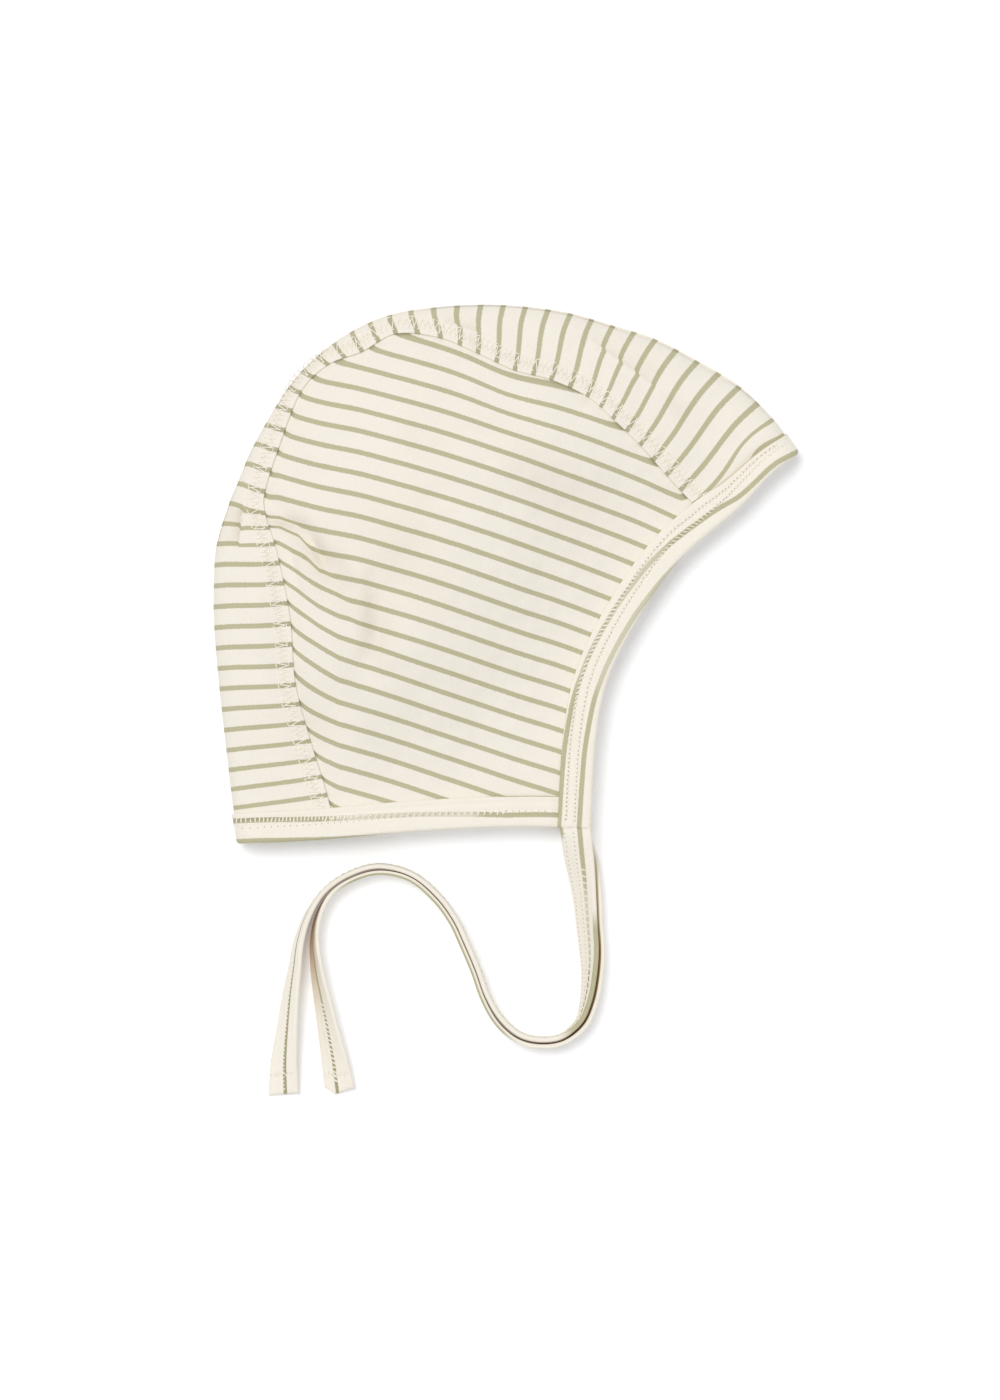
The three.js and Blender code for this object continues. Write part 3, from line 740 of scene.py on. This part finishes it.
def tie_points(side, run, across, off):
    """Points of a tie from the distance along its route, the distance across from its west edge, and the
    distance off the middle of its thickness. The right tie is drawn up flush with the face binding, and may
    start inside it, at a run below 0; the left one starts out of sight under the right one."""
    share = TIE_RUN.share(run)
    middle, wide, thick = tie_frames(share.ravel(), side)
    shape = (*share.shape, 3)
    middle, wide, thick = (values.reshape(shape) for values in (middle, wide, thick))
    if side > 0:
        raised = (0.76 - 0.07 * across) * (1 - soften(run / 9))
        raised = raised + 0.45 * np.maximum(run, 0) * np.exp(-np.maximum(run, 0) / 5)
        middle = middle + np.array([0, 0, 1]) * raised[..., None]
        middle = middle + np.array([0, 1, 0]) * np.maximum(-run, 0)[..., None]
    else:
        middle = middle - np.array([2.2, 0, 0]) * (1 - soften(run / 11))[..., None]
        middle = middle + 0.33 * thick * window(run, 85, 15, 152, 12)[..., None]
    end = np.array([-0.7, 0.6, 0]) if side > 0 else np.array([-0.4, -1.5, 0])
    middle = middle + end * soften((run - TIE_RUN.length + 32) / 32)[..., None]
    return middle + wide * (across - TIE_WIDTH / 2)[..., None] + thick * off[..., None]


def tie_stripe(side, run):
    """How far a tie's stripe lies from its west edge."""
    if side > 0:
        return np.interp(run, [0, 8, 30, TIE_RUN.length], [5.9, 5.8, 5.9, 5.2])
    return np.interp(run, [0, TIE_RUN.length - 20, TIE_RUN.length], [4.8, 5.0, 3.8])


def tie_look(side, run, over, face):
    """Stripe number, strength and painted shade on a tie's faces: face is 1 on the one with the stitches,
    and -1 on the other. The right tie has a second stripe by its west edge, which runs on from the binding,
    and a third by its east edge for part of its length. Where the ties stand up side by side, shade is
    painted on them, and sage is painted into the gap between them as part of that shade."""
    stripe = tie_stripe(side, run)
    number = np.clip((over - stripe) / tie_pitch(side, run), -0.45, 0.45)
    lean = through(column(TIE_ROUTE, "lean"), TIE_RUN.share(run))
    if side < 0:
        if face < 0:
            at_rim = over > 8.4
            rim = soften((over - 8.55) / 0.2) * window(run, 78, 8, 168, 10)
            return np.where(at_rim, 0, number), np.where(at_rim, rim, 0), 0 * run
        strength = np.where(run < 150, 0, soften((run - 172) / 8))
        # Painted shade on this face where the ties stand up side by side
        stands = soften((lean - 12) / 20) * soften((8.85 - over) / 0.3)
        stands = stands * (0.4 + 0.6 * soften((run - 20) / 20))
        # Sage painted into the narrow gap between the ties, as part of their painted shade
        gap = soften((160 - run) / 10) * soften((over - 7) / 0.5)
        number, strength = np.where(gap > 0, 0, number), np.maximum(strength, 0.8 * gap * stands)
        # Painted shade on the west part of this face towards its end, where the ties part
        parted = 0.68 * soften((TIE_RUN.length - 20 - run) / 30) * soften((stripe - over) / 0.6 + 0.2)
        return number, strength, stands + (parted - stands) * soften((run - 150) / 14)
    west, east = 0.35, 8.75
    number = np.where(over < (west + stripe) / 2, (west - over) / 5, number)
    number = np.where(over > (east + stripe) / 2, np.clip((east - over) / 4.4, -0.45, 0.45), number)
    strength = np.where(over < 3, 1 - soften((run - 0.5) / 3), 1)
    strength = np.where(over > 7.3, window(run, 23, 8, 68, 7), strength)
    strength = strength * (1 - 0.45 * window(run, 14, 8, 46, 8) * (over < 7.3))
    # Painted shade on the right tie's other face where the ties stand up side by side
    between = soften((lean - 30) / 20) * soften((8.7 - over) / 0.3) * soften((200 - run) / 20) * (face < 0)
    return number, strength, between


def tie_pitch(side, run):
    """The pitch of a tie's stripe: it is as wide as the binding's at the chin, and narrower further on."""
    return np.interp(run, [0, 10, 40], [6.1, 6.1, 4.6]) if side > 0 else 4.2 + 0 * run


def make_tie(name, side):
    """A flat tape: two folded leaves between rounded edges, swept along its route."""
    length = TIE_RUN.length
    runs = fine_ends(int(length / 0.8), length) * length
    if side > 0:
        runs[0] = -1.3
    across = fine_ends(30, TIE_WIDTH) * TIE_WIDTH
    run, over = np.meshgrid(runs, across, indexing="ij")
    rim = np.minimum(np.minimum(over, TIE_WIDTH - over), length - run)
    if side < 0:
        cut = 2.2 * over / TIE_WIDTH + 2.8 * (1 - soften(over / 3.2))
        run = run - cut * soften((run - length + 14) / 14)
    half = half_thickness(rim, TIE_CLOTH[side])
    groove = 0.1 * (bell((over - tie_stripe(side, run)) / 0.6) + bell((over - 2.4) / 0.4))
    outer = tie_points(side, run, over, half - groove)
    inner = tie_points(side, run, over, -half)
    looks = [np.stack(tie_look(side, run, over, face), axis=-1) for face in (1, -1)]
    # Painted shade on the tie's stripe under its stitches, along this part of its length
    stitch_shade = soften((run - 24) / 12) if side > 0 else soften((run - 200) / 8)
    weave = np.stack([run, over, 0.55 * stitch_shade * bell((over - tie_stripe(side, run)) / 0.9)], axis=-1)
    piece = shell(name, outer, inner, tie_jersey, looks[0], weave, looks[1])
    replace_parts(piece, "right_tie" if side > 0 else "left_tie")
    steps = np.linspace(0, length, 90)
    path = to_frame(tie_points(side, steps, 0 * steps + TIE_WIDTH / 2, 0 * steps))


make_tie("right_tie_tape", 1)
make_tie("left_tie_tape", -1)


# Panels
def side_stripes(p):
    """Stripe number over a side panel: how far a point is below the first stripe, less the drop of the
    stripes there, in pitches. Below the crease the stripes near the back seam are pulled up, most of it
    within a few millimetres, and near the top of the seam they are pulled down with it."""
    share = (p[..., 0] - DROP_FROM) / (DROP_STEP * (len(STRIPE_DROP) - 1))
    above = through(column(STRIPE_DROP, "above"), share)
    below = through(column(STRIPE_DROP, "below"), share)
    down = FIRST_STRIPE_UP - p[..., 1]
    drop = above + (below - above) * soften((down - 45) / 40)
    places = DROP_FROM + CREASE_STEP * np.arange(len(CREASE))
    under = down - np.interp(p[..., 0], places, column(CREASE, "down"))
    pull = np.interp(p[..., 0], places, column(CREASE, "pull"))
    gathered = 0.62 * soften(under / 6.5 + 0.5) + 0.38 * soften((under - 2) / 20)
    drop = drop - pull * gathered * (1 - 0.4 * soften((down - 88) / 20))
    drop = drop + 2.2 * bell((p[..., 0] - 89) / 12) * bell(to_seam(p) / 15)
    return (down - drop) / STRIPE_PITCH + 1


def side_panel(name, side):
    """The side panel of one layer: a Coons patch over its plan, at the height of the cloth."""
    corner = CROWN_CORNER / (len(SECTIONS) - 1)
    tuck = -1.0
    neck_from, neck_to = NECK_SEAM + tuck, neck_edge.length - PANEL_INSET
    face_from, face_to = face_edge.length - PANEL_INSET, FACE_SEAM + tuck
    plan = patch(
        left=lambda v: beside_seam(v * corner, tuck),
        top=lambda u: beside_seam(corner + u * (1 - corner), tuck),
        bottom=lambda u: neck_band(neck_from + u * (neck_to - neck_from), PANEL_INSET),
        right=lambda v: face_band(face_from + v * (face_to - face_from), PANEL_INSET),
    )
    v, u = np.meshgrid(fine_ends(170, 120), fine_ends(190, 130), indexing="ij")
    p = plan(u, v)
    height = cloth_height(p, side)
    if side > 0:
        height = height + lap(p, -1)
    grid = np.concatenate([p, height[..., None]], axis=-1)
    normal = -grid_normals(grid)
    rim = np.minimum(np.minimum(u, 1 - u) * 130, np.minimum(v, 1 - v) * 120)
    half = half_thickness(rim, CLOTH)[..., None]
    near = to_seam(p)
    number = side_stripes(p) + 0.17 * np.exp(-near / 1.2)
    # Painted shade: a thin line beside the seam, under the centre panel's edge, and the painted shade of
    # SHADES on the upper layer
    shade = np.maximum(0.3 * bell(near / 0.5), bumps(SHADES, p, "depth") * (side > 0))
    look = np.stack([number, np.ones_like(number), shade], axis=-1)
    # The stripes are painted darker beside the seam, as shade under the centre panel's edge
    weave = np.stack([p[..., 0] - 0.27 * p[..., 1], number * STRIPE_PITCH, 0.8 * bell(near / 0.9)], axis=-1)
    piece = shell(name, grid + normal * half, grid - normal * half, panel_jersey, look, weave)
    return piece


right_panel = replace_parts(side_panel("right_side_cloth", 1), "right_side_panel")
left_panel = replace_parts(side_panel("left_side_cloth", -1), "left_side_panel")


def centre_panel():
    """The centre panel: each row runs from the upper seam over the crown fold to the lower seam. Its stripes
    follow the sections."""
    lip = 0.25
    plan = patch(
        left=crown_fold,
        right=lambda v: beside_seam(v, lip),
        bottom=lambda u: neck_band(u * (NECK_SEAM + lip), PANEL_INSET),
        top=lambda u: face_band(u * (FACE_SEAM + lip), PANEL_INSET),
    )
    rows = fine_ends(380, 330)
    width = np.linalg.norm(plan(0 * rows, rows) - plan(0 * rows + 1, rows), axis=-1)
    reach = (np.minimum(FOLD_DEPTH, 0.6 * width) / width)[:, None]
    close = 1 - np.array([0.6, 0.36, 0.2, 0.1, 0.04])[None, :] / width[:, None]

    def half_row(count):
        """Shares of the width from the fold to the seam: round the fold, the open part, and the rim."""
        bent = (1 - np.cos(np.linspace(0, math.pi / 2, 13)))[None, :] * reach
        opened = reach + np.linspace(0, 1, count)[None, 1:-1] * (close[:, :1] - reach)
        return np.concatenate([bent, opened, close, np.ones_like(reach)], axis=1)

    upper, lower = half_row(46), half_row(16)
    u = np.concatenate([upper[:, :0:-1], lower], axis=1)
    side = np.concatenate([np.ones(upper.shape[1] - 1), [0], -np.ones(lower.shape[1] - 1)])
    v = rows[:, None] + 0 * u
    p = plan(u, v)
    height = cloth_height(p, side[None, :] + 0 * u)
    on_top = (side > 0)[None, :]
    lowered, moved, shade = crease_marks(p)
    raised = bumps(PUCKER, p, "height")
    height = height + on_top * (lap(p, 1) - lowered + 0.9 * raised)
    grid = np.concatenate([p, height[..., None]], axis=-1)
    normal = grid_normals(grid)
    rim = np.minimum((1 - u) * width[:, None], np.minimum(v, 1 - v) * 330)
    half = half_thickness(rim, CLOTH)[..., None]
    number = through(column(SECTIONS, "stripe"), v) + on_top * (moved + 0.34 * raised)
    from_seam = (1 - u) * width[:, None]
    # Painted shade on the stripes in the band under the seam's stitches
    stitch_shade = 0.25 * soften((5.2 - from_seam) / 0.8) * on_top
    # Painted shade of the creases, and of SHADES
    shade = 0.75 * shade + bumps(SHADES, p, "depth")
    look = np.stack([number, np.ones_like(number), on_top * shade], axis=-1)
    weave = np.stack([u * width[:, None] * side[None, :], number * 6.1, stitch_shade], axis=-1)
    piece = shell("centre_cloth", grid + normal * half, grid - normal * half, panel_jersey, look, weave)
    return piece


centre_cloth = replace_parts(centre_panel(), "centre_panel")


# Bindings
def binding_middle(band, station, inwards):
    """Middle of the cloth in a binding: station is the distance from the crown fold, negative below it."""
    p = band(np.abs(station), inwards)
    return np.concatenate([p, cloth_height(p, np.sign(station))[..., None]], axis=-1)


def binding_points(band, reach, station, inwards, off):
    """Points of a binding's wall, off its middle along the normal of the band's own surface."""
    step = 0.2
    along = binding_middle(band, np.minimum(station + step, reach), inwards)
    along = along - binding_middle(band, np.maximum(station - step, -reach), inwards)
    middle = binding_middle(band, station, inwards)
    across = binding_middle(band, station, inwards + step) - middle
    return middle + unit(np.cross(along, across)) * off[..., None]


def binding(name, band, reach, width, needles, stripes, tucked=0.0, narrow=0.0):
    """A strip folded over the cloth's edge: an outer rail from the lower leaf's edge round the fold to the
    upper leaf's edge and an inner rail beside it, carried along the band. needles are its rows of stitches,
    in millimetres from the folded edge. The last tucked millimetres are pressed flatter, to pass into
    another binding, and at the crown fold the leaves are narrow millimetres narrower."""
    flat = np.linspace(FOLD_DEPTH, reach, int((reach - FOLD_DEPTH) / 0.9) + 1)[1:]
    half = np.concatenate([FOLD_DEPTH * (1 - np.cos(np.linspace(0, math.pi / 2, 13))), flat])
    station = np.concatenate([-half[:0:-1], half])
    radius = FOLDED_HALF
    leaf = np.concatenate([[0, 0.05, 0.14, 0.28, 0.45], np.linspace(0.7, width - radius, 26)])
    turn = np.linspace(0, math.pi / 2, 9)[1:]
    from_tip = np.concatenate([leaf, width - radius + radius * np.sin(turn)])
    level = np.concatenate([np.ones(len(leaf)), np.cos(turn)])
    tip = half_thickness(leaf, FOLDED_WALL) / (FOLDED_WALL / 2)
    tip = np.concatenate([tip, np.ones(len(turn))])
    outward, tips, levels = (np.concatenate([part, part[-2::-1]]) for part in (from_tip, tip, level))
    inwards = width - outward
    sign = np.concatenate([-np.ones(len(from_tip) - 1), [0], np.ones(len(from_tip) - 1)])
    dent = sum(0.2 * bell((inwards - needle) / 0.55) for needle in needles)
    wall_middle = FOLDED_HALF - FOLDED_WALL / 2
    outer_off = sign * (wall_middle + FOLDED_WALL / 2 * tips - dent) * levels
    inner_inwards = np.maximum(inwards, FOLDED_WALL)
    inner_off = sign * (wall_middle - FOLDED_WALL / 2 * tips) * levels
    s, w = np.meshgrid(station, inwards, indexing="ij")
    inner_w = np.broadcast_to(inner_inwards[None, :], s.shape)
    narrowed = narrow * (1 - soften(np.abs(s) / 34)) * (w / width) ** 2
    w, inner_w = w - narrowed, inner_w - narrowed
    pressed = 1 - 0.6 * soften((np.abs(s) - reach + tucked) / max(tucked - 0.8, 0.1)) * (tucked > 0)
    outer = binding_points(band, reach, s, w, outer_off[None, :] * pressed)
    inner = binding_points(band, reach, s, inner_w, inner_off[None, :] * pressed)
    number, strength = stripes(np.abs(s), w)
    near_peak = (1 - soften((np.abs(s) - 20) / 12)) * (narrow > 0)
    # Painted shade along the upper leaf's edge near the peak, where it lies on the panel
    edge_shade = 0.75 * soften(1 - outward / 0.8)[None, :] * near_peak
    # Painted shade on the stripes beside the needle rows, where the stitches dent the cloth
    needle_shade = sum((0.2 if narrow else 0.5) * bell((w - needle) / 0.9) for needle in needles)
    look = np.stack([number, strength, edge_shade], axis=-1)
    weave = np.stack([s, w * np.where(sign == 0, 1, sign)[None, :], needle_shade], axis=-1)
    piece = shell(name, outer, inner, binding_jersey, look, weave)
    return piece


def face_stripes(from_fold, inwards):
    """Stripes along the face binding, one pitch apart, which drift inwards from the peak to the chin, and
    their strength. None shows on the inner side of the first one."""
    places = [0, 6, 14, 18, 22, 26, 30, 36, 43, 50, 55, 62, 69, 80, 90, 96, 114, 132, 140]
    drift = [0.7, 1.5, 1.8, 2.1, 2.6, 3.5, 4.1, 4.6, 5, 5.8, 6.4, 6.9, 7.4, 7.7, 8, 8.5, 9.3, 9.6, 9.7]
    number = (inwards - np.interp(from_fold, places, drift)) / 6.1
    covered = window(from_fold, 42, 10, 98, 10) * (number < 0.4)
    return number, (1 - soften((number - 0.35) / 0.15)) * (1 - 0.3 * covered)


def neck_stripes(from_fold, inwards):
    """Stripes along the neck binding, one pitch apart, which drift outwards from the nape to the chin, and
    their strength."""
    places = [0, 17, 30, 54, 71, 80, 97]
    drift = [7.2, 6.6, 6.0, 5.1, 4.1, 3.6, 3.7]
    number = (inwards - np.interp(from_fold, places, drift)) / 6.15
    hidden = window(from_fold, 26, 8, 74, 5)
    return number, 1 - 0.55 * hidden * (np.abs(number) < 0.5)


FACE_NEEDLES = (4.95, 7.55)
NECK_NEEDLES = (5.1, 7.4)
neck_reach = neck_edge.length - FACE_BINDING_WIDTH + 1.1
neck_cloth = binding("neck_fold", neck_band, neck_reach, NECK_BINDING_WIDTH, NECK_NEEDLES, neck_stripes, 3.4)
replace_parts(neck_cloth, "neck_binding")
face_reach = face_edge.length
face_cloth = binding(
    "face_fold", face_band, face_reach, FACE_BINDING_WIDTH, FACE_NEEDLES, face_stripes, narrow=3)
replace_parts(face_cloth, "face_binding")


# Stitches
def threads(name, surface, first, second, lift, radius, material):
    """Many short closed tubes in one mesh, along paths on a surface, which is a function of two places and
    a lift off it. Each ring is a circle square to its path, and the ends are rounded off and closed."""
    sides = 6
    paths = surface(first, second, lift)
    ups = unit(surface(first, second, lift + 0.1) - paths)
    count, steps = paths.shape[:2]
    forward = unit(np.gradient(paths, axis=1))
    beside = unit(np.cross(forward, ups))
    above = np.cross(beside, forward)
    turn = np.arange(sides) * 2 * math.pi / sides
    place = np.linspace(-1, 1, steps)
    size = radius * np.sqrt(np.maximum(1 - place**6, 0.06))
    ring = beside[:, :, None] * np.cos(turn)[:, None] + above[:, :, None] * np.sin(turn)[:, None]
    points = paths[:, :, None] + ring * size[None, :, None, None]
    faces = quads_of(steps, sides, around=True).reshape(-1, 4)
    last = (steps - 1) * sides
    caps = np.array([[3, 2, 1, 0], [5, 4, 3, 0], [last, last + 1, last + 2, last + 3],
                     [last, last + 3, last + 4, last + 5]])
    one = np.concatenate([faces, caps])
    every = one[None] + (np.arange(count) * steps * sides)[:, None, None]
    return make_piece(name, points.reshape(-1, 3), every, material)


def row(name, surface, first, last, pitch, place, length, slant, radius, arch, seed):
    """A row of stitches: each crosses its row at a slant, and its ends dive into the cloth."""
    rng = np.random.default_rng(seed)
    starts = np.arange(first, last, pitch, dtype=float)
    count = len(starts)
    t = np.linspace(-0.5, 0.5, 7)
    turn = np.radians(slant + rng.normal(0, 7, count))[:, None]
    size = (length * rng.uniform(0.88, 1.1, count))[:, None]
    run = starts[:, None] + t * size * np.cos(turn)
    middle = place(starts) if callable(place) else np.full(count, place)
    second = middle[:, None] + t * size * np.sin(turn) + rng.normal(0, 0.06, count)[:, None]
    lift = arch * np.cos(math.pi * t) - 0.05 + 0 * run
    # Rows named holes are dark bits of painted shade for the needle holes
    material = needle_hole_shade if name.endswith("holes") else seam_thread
    return threads(name, surface, run, second, lift, radius, material)


def seam_surface(run, inwards, lift):
    """The top of the centre panel beside the seam: distance along the seam, and in from it."""
    p = beside_seam(seam_run.share(run), -inwards)
    return upper_cloth(p, CLOTH / 2 + lift, 1)


def face_surface(station, inwards, lift):
    """The top of the face binding, whose own normal points down."""
    return binding_points(face_band, face_edge.length, station, inwards, 0.12 - FOLDED_HALF - lift)


def neck_surface(station, inwards, lift):
    """The top of the neck binding."""
    return binding_points(neck_band, neck_reach, station, inwards, FOLDED_HALF - 0.12 + lift)


def tie_surface(side):
    """The stitched face of a tie: distance along it, and across it."""
    return lambda run, across, lift: tie_points(side, run, across, TIE_CLOTH[side] / 2 - 0.08 + lift)


def tie_end_surface(side):
    """The same face, for a row that crosses the tie: distance across it, and back from its end."""
    top = TIE_CLOTH[side] / 2
    return lambda across, back, lift: tie_points(side, TIE_RUN.length - back, across, top + lift)


def zigzag(name, surface, start, end, pitch, near, far, radius, seed):
    """Cross threads of a seam that run to and fro between two needle rows, one thread to each crossing."""
    rng = np.random.default_rng(seed)
    begins = np.arange(start, end, pitch / 2)
    count = len(begins)
    flip = np.where(np.arange(count) % 2 == 0, 1, -1)[:, None]
    t = np.linspace(-0.5, 0.5, 9)
    first = begins[:, None] + t * pitch * 0.62 + rng.normal(0, 0.08, count)[:, None]
    second = (near + far) / 2 + flip * t * (far - near) + rng.normal(0, 0.1, count)[:, None]
    lift = 0.12 * np.cos(math.pi * t) ** 0.5 + 0 * first
    return threads(name, surface, first, second, lift, radius, seam_thread)


def face_cream(starts):
    """The inner needle row of the face binding, which keeps to the seam allowance."""
    return np.interp(starts, [0, 30, 44, 55], [5.6, 7.3, 7.6, FACE_NEEDLES[1]])


seam_end = seam_run.length - 1
face_end = face_edge.length - 2
tie_end = TIE_RUN.length - 1
# Rows of stitches, in millimetres: where the row starts and ends, its pitch and its place, each stitch's
# length, slant in degrees, radius and arch, and the seed of its unevenness
stitch_rows = table("name surface first last pitch place length slant radius arch seed", [
    ("seam_outer_needle", seam_surface, 1, seam_end, 1.9, 4.7, 1.5, 12, 0.17, 0.1, 12),
    ("seam_inner_needle", seam_surface, 1.4, seam_end, 1.9, 1.1, 1.3, 0, 0.15, 0.08, 13),
    ("face_inner_stitches", face_surface, 4, face_end, 1.3, face_cream, 1.9, 52, 0.24, 0.16, 14),
    ("face_outer_stitches", face_surface, 3, face_end, 1.3, FACE_NEEDLES[0], 1.6, 50, 0.18, 0.16, 15),
    ("face_inner_holes", face_surface, 4.6, face_end, 1.3, face_cream, 0.5, 80, 0.13, 0.02, 24),
    ("face_outer_holes", face_surface, 3.6, face_end, 1.3, FACE_NEEDLES[0], 0.45, 80, 0.13, 0.02, 25),
    ("neck_upper_stitches", neck_surface, 1, 40, 1.1,
     lambda run: np.interp(run, [0, 30], [7.1, 6.3]), 1.5, 80, 0.24, 0.16, 16),
    ("neck_lower_stitches", neck_surface, 26, 80, 1.9,
     lambda run: np.interp(run, [0, 30, 54, 75], [5.1, 6.0, 5.1, 4.4]), 1.7, 60, 0.24, 0.16, 17),
    ("neck_holes", neck_surface, 2, neck_reach - 4, 1.9, 4.7, 0.45, 80, 0.13, 0.02, 26),
    ("right_tie_stitches", tie_surface(1), 12, 170, 2.0,
     lambda run: tie_stripe(1, run) - 0.1, 1.7, 68, 0.24, 0.16, 18),
    ("right_tie_end_dots", tie_surface(1), 190, tie_end, 1.2,
     lambda run: tie_stripe(1, run) - 0.5, 0.9, 70, 0.22, 0.08, 22),
    ("right_tie_west_holes", tie_surface(1), 0.8, 64, 1.3, 1.3, 0.5, 80, 0.12, 0.12, 27),
    ("right_tie_middle_holes", tie_surface(1), 0.8, 64, 1.3, 3.9, 0.5, 80, 0.12, 0.12, 28),
    ("left_tie_stitches", tie_surface(-1), 202, tie_end - 3, 1.3,
     lambda run: tie_stripe(-1, run) - 0.1, 1.6, 60, 0.25, 0.16, 19),
])
seam_pieces = [zigzag("seam_cross_threads", seam_surface, 1.5, seam_end - 0.5, 1.5, 0.9, 4.5, 0.17, 11)]
seam_pieces += [row(**stitches) for stitches in stitch_rows]
seam_pieces += [
    zigzag("right_tie_end_stitches", tie_end_surface(1), 0.8, 8.4, 1.3, 5.6, 7, 0.14, 20),
    zigzag("left_tie_end_stitches", tie_end_surface(-1), 0.8, 8.4, 1.3, 5.6, 7.6, 0.16, 21),
]


# Floor, light and background
def floor():
    """The white surface that the bonnet lies on."""
    size, level = 3.0, -0.0003
    mesh = bpy.data.meshes.new("floor")
    corners = [(-size, -size, level), (size, -size, level), (size, size, level), (-size, size, level)]
    mesh.from_pydata(corners, [], [(0, 1, 2, 3)])
    # Matt white paper
    material, tree = new_material("white_paper")
    paper = node(tree, "ShaderNodeBsdfDiffuse", {"Color": (0.93, 0.93, 0.94, 1), "Roughness": 0.3})
    glow = node(tree, "ShaderNodeEmission", {"Color": (1, 1, 1, 1), "Strength": 0.14})
    surface = node(tree, "ShaderNodeAddShader", [paper.outputs["BSDF"], glow.outputs["Emission"]])
    node(tree, "ShaderNodeOutputMaterial", {"Surface": surface.outputs["Shader"]})
    mesh.materials.append(material)
    return add_object("floor", mesh)


def sun(name, strength, azimuth, elevation, angle, shadow=True):
    """A soft distant light from a direction: azimuth anticlockwise from +X, and elevation, in degrees."""
    data = bpy.data.lights.new(name, "SUN")
    data.energy = strength
    data.angle = math.radians(angle)
    data.use_shadow = shadow
    light = add_object(name, data)
    light.rotation_euler = (0, math.radians(90 - elevation), math.radians(azimuth))
    return light


key = sun("key_light", 1.54, 130, 72, 24)
fill = sun("fill_light", 0.26, 310, 50, 60, shadow=False)
world = bpy.data.worlds.new("studio")
bpy.context.scene.world = world
world.use_nodes = True
background = world.node_tree.nodes["Background"]
background.inputs["Color"].default_value = (0.96, 0.98, 1, 1)
background.inputs["Strength"].default_value = 0.51
floor()
bpy.context.scene.view_settings.view_transform = "Standard"
